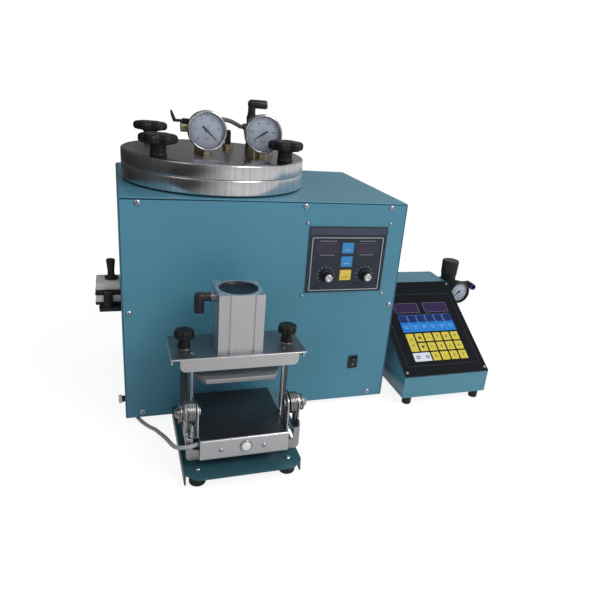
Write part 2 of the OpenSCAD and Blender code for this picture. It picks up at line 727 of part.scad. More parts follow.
module lid_disc() {
  color("silver") at_tank() difference() {
    rotate_extrude($fn = 96) polygon([[0, ring_top], [lid_r - 0.6, ring_top],
      [lid_r, ring_top + 0.6], [lid_r, lid_top - 1.5], [lid_r - 1.5, lid_top], [0, lid_top]]);
    for (p = stud_places) translate([p[0], p[1], ring_top - e])
      cylinder(r = stud_r + 0.6, h = lid_h + 2 * e);
    for (p = lid_ports) translate([p[0], p[1], lid_top - thread_len - 1])
      cylinder(r = thread_r + seat_fit, h = thread_len + 1 + e);
  }
}
// Six-lobed hand knob that screws down on a lid stud
module lid_knob(i) {
  p = stud_places[i];
  color("dimgray") at_tank(lid_top) translate([p[0], p[1], 0]) difference() {
    union() {
      cylinder(r = knob_stem_r, h = knob_stem_h + e);
      translate([0, 0, knob_stem_h]) {
        cylinder(r = knob_r - 6, h = knob_t);
        for (a = [0 : 60 : 300]) rotate([0, 0, a]) translate([knob_r - 8, 0, 1])
          cylinder(r = 8, h = knob_t - 2);
      }
    }
    translate([0, 0, -e]) cylinder(r = stud_r + run_fit, h = stud_out + 1 + e);
  }
}
module lid_knob_front_left() { lid_knob(0); }
module lid_knob_front_right() { lid_knob(1); }
module lid_knob_back_left() { lid_knob(2); }
module lid_knob_back_right() { lid_knob(3); }

// ---- gauges ----
// Cup of a gauge that faces the front, centred on its axis
module gauge_cup(r, d) {
  rotate([90, 0, 0]) rotate_extrude() polygon([[0, -d / 2], [r - 2, -d / 2],
    [r, -d / 2 + 2], [r, d / 2], [r - 2.7, d / 2], [r - 2.7, d / 2 - 1.5],
    [r - gauge_wall, d / 2 - 1.5], [r - gauge_wall, gauge_back - d / 2], [0, gauge_back - d / 2]]);
}
// Dial on its movement, with the arbor that the needle turns on
module gauge_dial(r, d) {
  rotate([90, 0, 0]) {
    translate([0, 0, gauge_back - d / 2]) cylinder(r = r / 3, h = dial_level - gauge_back + d / 2 + e);
    translate([0, 0, dial_level]) cylinder(r = r - gauge_wall - seat_fit, h = dial_t);
    cylinder(r = arbor_r, h = dial_level + dial_t + 3);
  }
}
// Needle on the arbor, its tip at the given angle from the right, seen from the front
module gauge_needle(reach, angle) {
  rotate([90, 0, 0]) translate([0, 0, dial_level + dial_t + 0.6]) rotate([0, 0, angle])
    difference() {
      union() {
        cylinder(r = 2, h = 1.6);
        linear_extrude(0.6) polygon([[-reach * 0.45, -1.3], [0, -1.1], [reach, -0.3],
          [reach, 0.3], [0, 1.1], [-reach * 0.45, 1.3]]);
      }
      translate([0, 0, -e]) cylinder(r = arbor_r + run_fit, h = 3);
    }
}
gauge_places = [[gauge_left_x, gauge_y, gauge_z], [gauge_right_x, gauge_y, gauge_z]];
module gauge_cases() {
  color("silver") at_tank(lid_top) for (p = gauge_places) translate(p) {
    gauge_cup(gauge_r, gauge_d);
    difference() {
      translate([0, 0, stem_top - gauge_z]) cylinder(r = 5.5, h = 4);
      rod_y(gauge_r - gauge_wall, gauge_d);
      translate([0, gauge_d / 2, 0]) rod_y(gauge_r - 1, gauge_d);
    }
  }
}
module gauge_dials() {
  color("white") at_tank(lid_top) for (p = gauge_places) translate(p) gauge_dial(gauge_r, gauge_d);
}
needle_reach = 17;
module left_needle() {
  color("black") at_tank(lid_top) translate(gauge_places[0]) gauge_needle(needle_reach, -42);
}
module right_needle() {
  color("black") at_tank(lid_top) translate(gauge_places[1]) gauge_needle(needle_reach, 212);
}

// ---- lid fittings ----
module lid_metal_fittings() {
  color("darkkhaki") at_tank(lid_top) {
    for (x = [gauge_left_x, gauge_right_x]) translate([x, gauge_y, 0]) {
      hex_bar(hex_af, stem_top);
      translate([0, 0, -thread_len]) cylinder(r = thread_r, h = thread_len + e);
    }
    // Vent valve: upright stem and a level body that points left
    translate([vent_x, vent_y, 0]) {
      hex_bar(hex_af, 8);
      translate([0, 0, -thread_len]) cylinder(r = thread_r, h = thread_len + vent_z);
    }
    difference() {
      translate([vent_left, vent_y, vent_z]) rod_x(vent_body_r, vent_x - vent_left + vent_right);
      translate([vent_hub_x, vent_y, vent_z]) cylinder(r = 2 + run_fit, h = vent_body_r + e);
    }
    // Bases of the relief valve and the riser
    for (b = [[relief_x, relief_y, 8], [riser_x, riser_y, riser_base_h]])
      translate([b[0], b[1], 0]) {
        hex_bar(hex_af, b[2]);
        translate([0, 0, -thread_len]) cylinder(r = thread_r, h = thread_len + e);
      }
  }
}
module lid_valves() {
  color("dimgray") at_tank(lid_top) {
    // Relief valve cap
    translate([relief_x, relief_y, 8]) rotate_extrude() polygon([[0, 0], [4.4, 0], [4.4, 18],
      [3.2, 21], [0, 21]]);
    // Riser with its side port and the socket of the elbow
    translate([riser_x, riser_y, riser_base_h]) difference() {
      union() {
        cylinder(r = riser_r, h = riser_h - riser_base_h - 4);
        cylinder(r = 6, h = riser_h - riser_base_h);
      }
      translate([0, 0, riser_h - riser_base_h - 10]) cylinder(r = 3 + run_fit, h = 10 + e);
    }
    translate([riser_x - riser_port, riser_y, riser_port_z]) rod_x(4.6, riser_port);
  }
}
module vent_lever() {
  color("dimgray") at_tank(lid_top) translate([vent_hub_x, vent_y, vent_z + vent_body_r + 0.1]) {
    translate([0, 0, -5]) cylinder(r = 2, h = 5 + e);
    cylinder(r = 5, h = 5);
    translate([-vent_arm, -4, 0]) cube([vent_arm, 8, 3.5]);
    translate([-vent_arm, 4, 0]) rotate([90, 0, 0]) linear_extrude(8) polygon([[0, 0],
      [5, 0], [1, 9], [-2, 15], [-4, 15], [-3, 8]]);
  }
}
// Push-in elbow: a stem along +Z, an arm along +X and the tube's bore in the arm
module push_elbow(stem, arm) {
  difference() {
    union() {
      cylinder(r = push_r - 0.7, h = stem);
      translate([0, 0, stem]) sphere(r = push_r);
      translate([0, 0, stem]) rod_x(push_r, arm);
    }
    translate([arm - 14, 0, stem]) rod_x(tube_r + run_fit, 14 + e);
  }
}
module lid_elbow() {
  color("dimgray") at_tank(lid_top + riser_h) translate([riser_x, riser_y, 0.05]) {
    push_elbow(lid_elbow_z - riser_h, lid_elbow_arm + 4);
    translate([0, 0, -9]) cylinder(r = 3, h = 9 + e);
  }
}
module lid_hose() {
  color("gray") at_tank(lid_top) tube_along(smooth(hose_points, 3), hose_r, 10);
}

// ---- nozzle ----
nozzle_bore = tip_r + run_fit;
outlet_r = 6;
pot_outlet = 70;
pot_outlet_y = tank_in - pot_outlet;
module nozzle_block() {
  half = pot_space - 15;
  color("darkgoldenrod") at_cabinet() translate([-axis_off, 0, nozzle_z]) difference() {
    union() {
      block([2 * nozzle_r + 16, pot_outlet_y + 20, 2 * half], [0, 4, -half]);
      translate([0, 6, 0]) rod_y(nozzle_r, 6 + 8);
      translate([0, pot_outlet_y, 0]) cylinder(r = outlet_r, h = pot_space + 6);
      translate([0, pot_outlet_y, 0]) cylinder(r = outlet_r + 3, h = pot_space);
    }
    translate([0, 30, 0]) rod_y(nozzle_bore, 40);
  }
}
module nozzle_tip() {
  color("gold") at_cabinet() translate([-axis_off, 26, nozzle_z]) rotate([90, 0, 0])
    rotate_extrude() polygon([[1, 0], [tip_r, 0], [tip_r, 36], [tip_r - 2, 26 + tip_out],
      [1, 26 + tip_out]]);
}

// ---- side valves ----
// Round nut low on the left side: radius, depth, and place behind the front and above the floor
nut = [6, 9];
nut_place = [25, 18];
side_mid = -cab_w / 2 - side_w / 2;
handle_x = -cab_w / 2 - 12;
side_shaft_r = 2.5;
side_plate = 5;
side_front = 2 * side_knob_r + 3;
module side_blocks() {
  color("silver") at_cabinet() difference() {
    union() for (i = [0, 1]) translate([0, 0, side_z + i * (side_h + panel_gap)]) {
      block([side_w - 2 * i, side_d, side_h], [side_mid + i, side_in, 0]);
    }
    // Seat of the handle's shaft
    translate([handle_x, side_in + side_d / 2, side_z + side_h + 4])
      cylinder(r = side_shaft_r + run_fit, h = side_h);
  }
  // Plate under the blocks, with the pin that the front knob turns on and a lower port
  color("dimgray") at_cabinet() {
    block([side_w - 4, side_d + side_front, side_plate], [side_mid, side_in - side_front,
      side_z - side_plate]);
    translate([side_mid, side_in - side_front / 2, side_z - e]) cylinder(r = side_shaft_r, h = 14);
    translate([side_mid - 8, side_in + 10, side_z - side_plate - 7]) cylinder(r = 5, h = 7);
  }
  color("silver") at_cabinet() translate([-cab_w / 2 - nut[1], nut_place[0], nut_place[1]])
    rod_x(nut[0], nut[1]);
}
module side_handle() {
  top = side_z + 2 * side_h + panel_gap;
  color("black") at_cabinet() translate([handle_x, side_in + side_d / 2, top + 0.1])
    rotate_extrude() polygon([[0, -10], [side_shaft_r, -10], [side_shaft_r, 0], [9, 0], [9, 3],
      [5, 5], [4.6, 12], [side_knob_r, 27], [side_knob_r - 0.8, 29], [0, 29]]);
}
module side_knob() {
  color("black") at_cabinet() translate([side_mid, side_in - side_front / 2, side_z + 0.2])
    difference() {
      rotate_extrude() polygon([[0, 0], [side_knob_r, 0], [side_knob_r, 20],
        [side_knob_r - 1.5, 22], [0, 22]]);
      translate([0, 0, -e]) cylinder(r = side_shaft_r + run_fit, h = 15);
    }
}

// ---- back ----
module rear_ports() {
  color("dimgray") at_cabinet() {
    for (p = port_places) translate([p[0], cab_d + port_len, p[1]]) difference() {
      union() {
        rod_y(port_hole_r, port_len + 12);
        rod_y(9, port_len);
      }
      translate([0, e, 0]) rod_y(tube_r + run_fit, 18 + e);
    }
    // Mains inlet with its recess
    translate([inlet_place[0], 0, inlet_place[1]]) difference() {
      union() {
        block([inlet[0], 3, inlet[2]], [0, cab_d, 0]);
        block([inlet[0] - 4.4, inlet[1], inlet[2] - 4.4], [0, cab_d + e - inlet[1], 2.2]);
      }
      block([inlet[0] - 8, 16, inlet[2] - 8], [0, cab_d + 3 + e - 16, 4]);
    }
  }
}

// ---- clamp base ----
module clamp_base() {
  w = base_w / 2;
  c = base_chamfer;
  back = -panel_gap;
  color("cadetblue") at_clamp() difference() {
    union() {
      translate([0, 0, base_z - clamp_t]) linear_extrude(clamp_t) polygon([[-w, back],
        [-w, c - base_reach], [c - w, -base_reach], [w - c, -base_reach], [w, c - base_reach],
        [w, back]]);
      for (i = [-1, 1]) block([clamp_t, base_reach - c + back, base_flange],
        [i * (w - clamp_t / 2), c - base_reach, base_z - base_flange]);
    }
    for (p = base_feet) translate([p[0], p[1], base_z - clamp_t - e])
      cylinder(r = screw_r + seat_fit, h = clamp_t + 2 * e);
  }
}
rail_ends = [-126, -24];
block_d = 12;
feed_len = 60;
feed_front = rail_ends[1] + block_d - feed_len;
feed_rod_r = 3;
module slide_rails() {
  half = rail_z - base_z;
  color("silver") at_clamp() {
    for (i = [-1, 1]) {
      translate([i * rail_x, rail_ends[1] + block_d, rail_z])
        rod_y(rail_r, rail_ends[1] - rail_ends[0] + block_d);
      for (y = rail_ends) block([24, block_d, half + rail_r + 3], [i * rail_x, y, base_z]);
    }
    // Feed cylinder between the rails, on its foot
    difference() {
      union() {
        translate([0, rail_ends[1] + block_d, rail_z]) rod_y(9, feed_len);
        block([24, block_d, half], [0, rail_ends[1], base_z]);
      }
      translate([0, feed_front + 12 + feed_travel, rail_z])
        rod_y(feed_rod_r + run_fit, 12 + feed_travel + e);
    }
  }
}
module carriage() {
  w = car_w / 2;
  rise = plate_under - clamp_t;
  car_front = tray_reach - clamp_t - lip_gap;
  color("lightsteelblue") at_clamp() difference() {
    union() {
      // Plate under the tray, cut back behind the start button
      difference() {
        block([car_w, car_front - tray_back, clamp_t], [0, -car_front, rise]);
        block([2 * corner_in, car_front - cut_front + e, clamp_t + 2 * e],
          [0, -car_front - e, rise - e]);
      }
      for (i = [-1, 1]) {
        // Corner pieces in front, each with a tongue behind the tray's lip, under the cable
        translate([i * (w + corner_in) / 2, 0, 0])
          block([w - corner_in, clamp_t, corner_top - corner_low], [0, -car_front, corner_low]);
        translate([i * (w - tongue_w / 2), 0, 0])
          block([tongue_w, clamp_t, tongue_h], [0, -car_front, corner_low]);
        // Outer ear with its round head
        translate([i * (ear_x + clamp_t / 2) - clamp_t / 2, 0, 0]) {
          translate([0, -pivot_y, pivot_z]) rod_x(13, clamp_t);
          translate([0, -car_front + e, rise]) cube([clamp_t, car_front - pivot_y + 11, 20]);
          translate([0, -pivot_y - 11, rise]) cube([clamp_t, 22, pivot_z - rise]);
        }
        // Rail bearing
        block([22, 60, rise - rail_z + rail_r + 3 + e], [i * rail_x, -112, rail_z - rail_r - 3]);
      }
      // Bracket with the feed cylinder's rod
      block([24, 8, rise - rail_z + 8 + e], [0, -106, rail_z - 8]);
      translate([0, feed_front + 10, rail_z]) rod_y(feed_rod_r, feed_front + 10 + 100);
    }
    for (i = [-1, 1]) {
      translate([i * rail_x, -112 + 60 + e, rail_z]) rod_y(rail_r + run_fit, 60 + 2 * e);
      translate([i * ear_x - 5, -pivot_y, pivot_z]) rod_x(pin_r + seat_fit, 10);
      translate([i * rod_x, -rod_y, rise - e]) cylinder(r = rod_r + run_fit, h = clamp_t + 2 * e);
      translate([i * post_x, -post_y, rise - e]) cylinder(r = 3 + seat_fit, h = clamp_t + 2 * e);
    }
  }
}
// Rods that hang from the bridge plate and slide through the carriage
module guide_rods() {
  color("silver") at_clamp() for (i = [-1, 1])
    translate([i * rod_x, -rod_y, rail_z]) cylinder(r = rod_r, h = bridge_z - rail_z);
}
module carriage_pins() {
  rise = plate_under - clamp_t;
  from = tray_w / 2 - 2;
  color("silver") at_clamp() for (side = [0, 1]) mirror([side, 0, 0]) {
    // Threaded post that carries the bridge plate
    translate([post_x, -post_y, 0]) difference() {
      union() {
        translate([0, 0, rise]) cylinder(r = 3, h = clamp_t + e);
        translate([0, 0, rise + clamp_t]) cylinder(r = post_r, h = bridge_under - rise - clamp_t);
      }
      translate([0, 0, bridge_under - screw_run - 14])
        cylinder(r = 3 + run_fit, h = screw_run + 14 + e);
    }
    // Pivot pin of the tray, with the washer and the round nut outside the ear
    translate([0, -pivot_y, pivot_z]) {
      translate([from, 0, 0]) rod_x(pin_r, ear_x + 11 - from);
      translate([from - 2, 0, 0]) rod_x(pin_r + 2, 2);
      translate([ear_x + clamp_t, 0, 0]) rod_x(10, 1.5);
      translate([ear_x + clamp_t + 6, 0, 0]) rotate([0, 90, 0]) cylinder(r1 = 8, r2 = 5, h = 5);
    }
  }
}
module torsion_springs() {
  turns = 4;
  inner = tray_w / 2 + clamp_t + 1.4 + wire_r;
  color("gray") at_clamp() for (side = [0, 1]) mirror([side, 0, 0])
    translate([0, -pivot_y, pivot_z]) {
      // Coils side by side between the two ears, and one more outside
      for (k = [0 : turns - 1]) translate([inner + k * 2.1 * wire_r, 0, 0])
        rotate([0, 90, 0]) rotate_extrude($fn = 32) translate([spring_r - wire_r, 0])
          circle(r = wire_r, $fn = 16);
      translate([ear_x + clamp_t + 1.6 + wire_r, 0, 0]) rotate([0, 90, 0])
        rotate_extrude($fn = 32) translate([spring_r - 3 - wire_r, 0])
          circle(r = wire_r, $fn = 16);
    }
}
module tray() {
  half = tray_w / 2;
  under = tray_z - clamp_t;
  color("gainsboro") at_clamp() difference() {
    union() {
      block([tray_w, tray_reach - tray_back, clamp_t], [0, -tray_reach, under]);
      block([tray_w, clamp_t, lip_h], [0, -tray_reach, tray_z - lip_h]);
      for (i = [-1, 1]) translate([i * (half + clamp_t / 2) - clamp_t / 2, 0, 0]) {
        translate([0, -pivot_y, pivot_z]) rod_x(tray_ear_top - pivot_z, clamp_t);
        translate([0, -pivot_y - 12, under]) cube([clamp_t, 24, pivot_z - under]);
        translate([-clamp_t, -pivot_y - 12, under]) cube([3 * clamp_t, 24, clamp_t]);
      }
    }
    for (i = [-1, 1]) translate([i * half - 6, -pivot_y, pivot_z]) rod_x(pin_r + run_fit, 12);
    translate([button_x, -tray_reach + clamp_t + e, button_z]) rod_y(switch_r - 1, clamp_t + 2 * e);
  }
}
module button_switch() {
  color("dimgray") at_clamp() translate([button_x, -tray_reach, button_z]) difference() {
    union() {
      translate([0, clamp_t, 0]) rod_y(switch_r - 1 - seat_fit, clamp_t + 1);
      translate([0, clamp_t + switch_len, 0]) rod_y(switch_r - 1.1, switch_len + e);
      rod_y(switch_r, 1);
      translate([0, clamp_t + 3, 0]) rod_y(switch_r - 0.5, 3);
    }
    translate([0, 8, 0]) rod_y(button_r + run_fit, 12);
  }
}
module start_button() {
  color("white") at_clamp() translate([button_x, -tray_reach + 5, button_z]) rotate([90, 0, 0])
    rotate_extrude() polygon([[0, 0], [button_r, 0], [button_r, 6], [button_r - 1, 5 + 1 + button_out],
      [0, 5 + 1 + button_out]]);
}
module button_cable() {
  color("gray") at_clamp() tube_along(smooth(cable_points, 2), cable_r, 8);
}

// ---- bridge and press ----
module bridge_plate() {
  back = bridge_front - bridge_d;
  color("lightgray") at_clamp() difference() {
    union() {
      block([bridge_w, bridge_d, clamp_t], [0, -bridge_front, bridge_under]);
      block([bridge_w - 20, clamp_t, flange_h], [0, -bridge_front, bridge_z - flange_h]);
      for (i = [-1, 1]) block([clamp_t, bridge_d - 12, 11],
        [i * (bridge_w - clamp_t) / 2, -bridge_front + 7, bridge_z - 11]);
    }
    for (i = [-1, 1]) {
      translate([i * rod_x, -rod_y, bridge_under - e])
        cylinder(r = rod_r + seat_fit, h = clamp_t + 2 * e);
      translate([i * post_x, -post_y, bridge_under - e]) cylinder(r = 3.3, h = clamp_t + 2 * e);
    }
    translate([0, -cyl_y, bridge_under - e]) cylinder(r = piston_r + 1, h = clamp_t + 2 * e);
  }
}
bolt_in = 5;
module clamp_cylinder() {
  top = bridge_z + cyl_h;
  groove = cyl_w / 2 - 13;
  color("silver") at_clamp() translate([0, -cyl_y, 0]) {
    difference() {
      translate([-cyl_w / 2, -cyl_w / 2, bridge_z]) cube([cyl_w, cyl_w, cyl_h]);
      translate([0, 0, bridge_z + cyl_floor]) cylinder(r = bore_r, h = cyl_h);
      translate([0, 0, bridge_z - e]) cylinder(r = piston_r + run_fit, h = cyl_floor + 2 * e);
      // Two sensor grooves down each side
      for (a = [0 : 90 : 270]) rotate([0, 0, a]) for (i = [-1, 1])
        translate([i * groove - 1.5, cyl_w / 2 - 2.2, bridge_z - e])
          cube([3, 3, cyl_h + 2 * e]);
      // Air port on the left
      translate([-cyl_w / 2 - e, 0, elbow_z]) rod_x(4 + run_fit, 8 + e);
      for (i = [-1, 1]) for (j = [-1, 1])
        translate([i * (cyl_w / 2 - bolt_in), j * (cyl_w / 2 - bolt_in), top - 3])
          cylinder(r = 3, h = 3 + e);
    }
    // End cap below the rim
    translate([0, 0, top - cap_down - cap_t]) cylinder(r = bore_r - seat_fit, h = cap_t);
  }
}
module cylinder_elbow() {
  color("dimgray") at_clamp() translate([-cyl_w / 2 - 0.05, -cyl_y, elbow_z]) rotate([0, -90, 0]) {
    translate([0, 0, -port_deep]) cylinder(r = 4, h = port_deep + e);
    rotate([0, 0, 180]) push_elbow(20, 22);
  }
}
// Fluted hand knob with its screw
module height_knob(side) {
  at_clamp() translate([side * post_x, -post_y, bridge_z]) {
    translate([0, 0, -clamp_t - screw_run]) cylinder(r = 3, h = screw_run + clamp_t + e);
    cylinder(r = 4.5, h = wing_collar + e);
    translate([0, 0, wing_collar]) difference() {
      rotate_extrude() polygon([[0, 0], [wing_r - 5, 0], [wing_r, 3], [wing_r, 12],
        [wing_r - 1.5, 13.5], [0, 13.5]]);
      for (a = [0 : 45 : 315]) rotate([0, 0, a]) translate([wing_r + 1, 0, 2])
        cylinder(r = 3, h = 13);
    }
  }
}
module height_knob_left() { color("black") height_knob(-1); }
module height_knob_right() { color("black") height_knob(1); }
module press_plate() {
  w = press_w / 2;
  front = -press_d / 2;
  color("darkgray") at_clamp() translate([0, -cyl_y, 0]) {
    translate([0, 0, press_z]) linear_extrude(press_t) polygon([[-w, press_d / 2],
      [-w, front + 22], [11 - w, front], [w - 11, front], [w, front + 22], [w, press_d / 2]]);
    translate([0, 0, press_z + press_t - e]) cylinder(r = piston_r, h = piston_top - press_z - press_t + e);
    translate([0, 0, piston_top - piston_t]) cylinder(r = bore_r - run_fit, h = piston_t);
  }
}

// ---- console ----
module controller_case() {
  t = sheet;
  y2 = slope_run;
  z0 = box_foot_h;
  k = t / cos(slope_angle);
  color("cadetblue") at_console() difference() {
    translate([-box_w / 2, 0, 0]) rotate([90, 0, 90]) linear_extrude(box_w)
      polygon([[0, z0], [0, box_front_h], [y2, box_h], [box_d, box_h], [box_d, z0]]);
    translate([-box_w / 2 + t, 0, 0]) rotate([90, 0, 90]) linear_extrude(box_w - 2 * t)
      polygon([[t, z0 + t], [t, box_front_h - k + t * tan(slope_angle)],
        [y2 + t * tan(slope_angle / 2), box_h - t], [box_d - t, box_h - t], [box_d - t, z0 + t]]);
    for (i = [-1, 1]) for (y = [10, box_d - 14])
      translate([i * (box_w / 2 - 14), y, z0 - e]) cylinder(r = 2.5, h = t + 2 * e);
    translate([0, 0, box_front_h]) rotate([slope_angle, 0, 0]) for (s = pad_screws)
      translate([s[0], s[1], -t - e]) cylinder(r = small_screw_r + seat_fit, h = t + 2 * e);
  }
}
reg_front = reg_y - reg_w / 2;
reg_gauge_d = 20;
reg_gauge_z = reg_z + reg_h / 2 + 4;
module regulator_body() {
  z = reg_z + reg_h;
  color("dimgray") at_console() difference() {
    union() {
      block([reg_w, reg_w, reg_h], [reg_x, reg_front, reg_z]);
      translate([reg_x, reg_y, z - e]) cylinder(r = reg_r - 3, h = 3 + e);
      translate([reg_x, reg_y, z]) cylinder(r = 5, h = 16);
      // Arm to the console's side, stub of the gauge and stub of the elbow
      block([reg_x - reg_w / 2 - box_w / 2 + e, 16, 12],
        [(reg_x - reg_w / 2 + box_w / 2 + e) / 2, reg_y - 8, reg_z + 6]);
      translate([reg_x, reg_front + e, reg_gauge_z]) rod_y(5, reg_stub + e);
      translate([reg_x + reg_w / 2 - e, reg_y, reg_gauge_z]) rod_x(7, 3 + e);
    }
    translate([reg_x + reg_w / 2 - 6, reg_y, reg_gauge_z]) rod_x(3 + run_fit, 10);
  }
}
module regulator_knob() {
  z = reg_z + reg_h + 3.1;
  color("black") at_console() translate([reg_x, reg_y, z]) difference() {
    rotate_extrude() polygon([[0, 0], [reg_r - 1, 0], [reg_r - 1, 8], [reg_r, 9],
      [reg_r, reg_knob_h - 1.5], [reg_r - 1.5, reg_knob_h], [0, reg_knob_h]]);
    translate([0, 0, -e]) cylinder(r = 5 + run_fit, h = 14 + e);
  }
}
module line_gauge() {
  color("silver") at_console() translate([reg_x, reg_front - reg_stub - reg_gauge_d / 2, reg_gauge_z]) {
    gauge_cup(reg_gauge_r, reg_gauge_d);
    gauge_dial(reg_gauge_r, reg_gauge_d);
  }
}
module line_needle() {
  color("black") at_console() translate([reg_x, reg_front - reg_stub - reg_gauge_d / 2, reg_gauge_z])
    gauge_needle(11, 225);
}
module regulator_elbow() {
  color("dimgray") at_console() translate([reg_x + reg_w / 2 + 3.05, reg_y, reg_gauge_z])
    rotate([0, 90, 0]) {
      translate([0, 0, -8]) cylinder(r = 3, h = 8 + e);
      rotate([0, 0, -90]) push_elbow(reg_arm - 3.05, 22);
    }
}

wrap_cover();
front_panel();
chassis();
rubber_feet();
panel_screws();
control_faces();
display_windows();
film_keys();
pot_knob_left();
pot_knob_right();
electrics();
rocker_bezel();
power_rocker();
wax_tank();
tank_ring();
tank_heater();
tank_seals();
lid_studs();
nozzle_block();
nozzle_tip();
side_blocks();
side_handle();
side_knob();
rear_ports();
clamp_base();
slide_rails();
controller_case();
regulator_body();
regulator_knob();
line_gauge();
line_needle();
regulator_elbow();
button_cable();
lid_disc();
lid_knob_front_left();
lid_knob_front_right();
lid_knob_back_left();
lid_knob_back_right();
gauge_cases();
gauge_dials();
left_needle();
right_needle();
lid_metal_fittings();
lid_valves();
vent_lever();
lid_elbow();
lid_hose();
carriage();
guide_rods();
carriage_pins();
torsion_springs();
tray();
button_switch();
start_button();
bridge_plate();
clamp_cylinder();
cylinder_elbow();
height_knob_left();
height_knob_right();
press_plate();
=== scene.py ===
"""Looks of a bench wax injector with its mould clamp and console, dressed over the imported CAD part."""
import math
import bmesh
import bpy
import numpy as np
from mathutils import Matrix, Vector


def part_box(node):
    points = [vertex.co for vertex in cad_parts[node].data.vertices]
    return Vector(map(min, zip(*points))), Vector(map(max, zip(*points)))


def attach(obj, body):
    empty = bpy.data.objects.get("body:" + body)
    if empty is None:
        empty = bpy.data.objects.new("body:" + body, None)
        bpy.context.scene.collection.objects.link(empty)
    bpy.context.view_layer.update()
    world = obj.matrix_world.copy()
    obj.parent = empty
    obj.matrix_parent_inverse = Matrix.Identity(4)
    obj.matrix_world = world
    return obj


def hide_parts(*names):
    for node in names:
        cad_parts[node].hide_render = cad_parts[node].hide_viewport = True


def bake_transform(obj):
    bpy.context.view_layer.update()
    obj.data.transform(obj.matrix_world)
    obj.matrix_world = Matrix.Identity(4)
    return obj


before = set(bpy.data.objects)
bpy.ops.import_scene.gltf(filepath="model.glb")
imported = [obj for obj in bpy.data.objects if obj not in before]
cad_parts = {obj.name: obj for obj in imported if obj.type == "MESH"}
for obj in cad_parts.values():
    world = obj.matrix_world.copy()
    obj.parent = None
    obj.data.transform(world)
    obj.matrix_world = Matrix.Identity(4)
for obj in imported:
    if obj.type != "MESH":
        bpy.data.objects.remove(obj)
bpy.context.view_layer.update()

# ---------------------------------------------------------------- viewpoint
# A standing viewer's eye, left of the cabinet and a little above its top,
# found by fitting the cabinet's corners to the photograph.
yaw, pitch, roll = (math.radians(a) for a in (21.07, 21.67, 5.74))
sight = Vector((math.sin(yaw) * math.cos(pitch), math.cos(yaw) * math.cos(pitch), -math.sin(pitch)))
level = Vector((math.cos(yaw), -math.sin(yaw), 0))
raised = level.cross(sight)
cam_x = math.cos(roll) * level + math.sin(roll) * raised
cam_y = math.cos(roll) * raised - math.sin(roll) * level
cab_lo, cab_hi = map(np.array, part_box("wrap_cover"))
eye = Vector(((cab_lo[0] + cab_hi[0]) / 2 - 0.2020, cab_lo[1] - 0.7449, cab_lo[2] + 0.4741))
lens = bpy.data.cameras.new("viewpoint")
lens.lens, lens.sensor_width = 34.50, 36.0
lens.shift_x, lens.shift_y = -0.0400, 0.0152
lens.clip_start = 0.02
camera = bpy.data.objects.new("viewpoint", lens)
camera.matrix_world = Matrix((cam_x, cam_y, -sight)).transposed().to_4x4()
camera.location = eye
bpy.context.scene.collection.objects.link(camera)
bpy.context.scene.camera = camera
bpy.context.scene.view_settings.view_transform = "Standard"
# ---------------------------------------------------------------- bench and light
# A plain white bench, a bright room whose ceiling is lighter than its walls, and
# two soft lamps: a broad one up to the right, a weak one to the left.
def nodes_of(material):
    """Empties a material or world and gives a function that adds a node to it. A socket takes a plain
    value, another node's output, or a node, which stands for its first output."""
    material.use_nodes = True
    tree = material.node_tree
    tree.nodes.clear()

    def add(kind, *sockets, **values):
        made = tree.nodes.new("ShaderNode" + kind)
        for key, value in values.items():
            if hasattr(made, key):
                setattr(made, key, value)
            else:
                made.inputs[key.replace("_", " ")].default_value = value
        for socket, source in sockets:
            if isinstance(source, bpy.types.Node):
                source = source.outputs[0]
            if isinstance(source, bpy.types.NodeSocket):
                tree.links.new(source, made.inputs[socket])
            else:
                made.inputs[socket].default_value = source
        return made
    return add


def mapped(add, source, low, high, start=0.0, stop=1.0):
    """The source's range from start to stop, made a range from low to high."""
    return add("MapRange", ("Value", source), From_Min=start, From_Max=stop, To_Min=low, To_Max=high)


room = bpy.data.worlds.new("room")
bpy.context.scene.world = room
add = nodes_of(room)
direction = add("TexCoord").outputs["Generated"]


def toward(way):
    """How far a direction of the room points along the given way."""
    return add("VectorMath", (0, direction), (1, way), operation="DOT_PRODUCT").outputs["Value"]


# The room is bright up to the right; polished metal mirrors a dim wall to the left
# and a bright one to the right
lit = mapped(add, toward((0.62, -0.12, 0.78)), 0.11, 0.97, -0.45, 0.85)
walls = add("Background", ("Strength", lit), Color=(0.93, 0.96, 1.0, 1))
shown = mapped(add, toward((0.90, -0.25, 0.35)), 0.05, 0.50, -0.30, 0.55)
mirrored = add("Background", ("Strength", shown), Color=(1, 1, 1, 1))
plain = add("Background", Color=(1, 1, 1, 1), Strength=1.0)
seen = add("LightPath")
half = add("MixShader", (0, seen.outputs["Is Glossy Ray"]), (1, walls), (2, mirrored))
clear = add("Math", (0, seen.outputs["Is Camera Ray"]), (1, seen.outputs["Is Transmission Ray"]),
            operation="MAXIMUM")
add("OutputWorld", ("Surface", add("MixShader", (0, clear), (1, half), (2, plain))))

bench = bpy.data.meshes.new("bench")
bench.from_pydata([(-4, -4, 0), (4, -4, 0), (4, 4, 0), (-4, 4, 0)], [], [(0, 1, 2, 3)])
bench_top = bpy.data.objects.new("bench", bench)
bpy.context.scene.collection.objects.link(bench_top)
white = bpy.data.materials.new("bench_white")
add = nodes_of(white)
matt = add("BsdfDiffuse", Color=(0.86, 0.86, 0.86, 1))
glow = add("Emission", Color=(1, 1, 1, 1), Strength=1.10)
seen = add("LightPath")
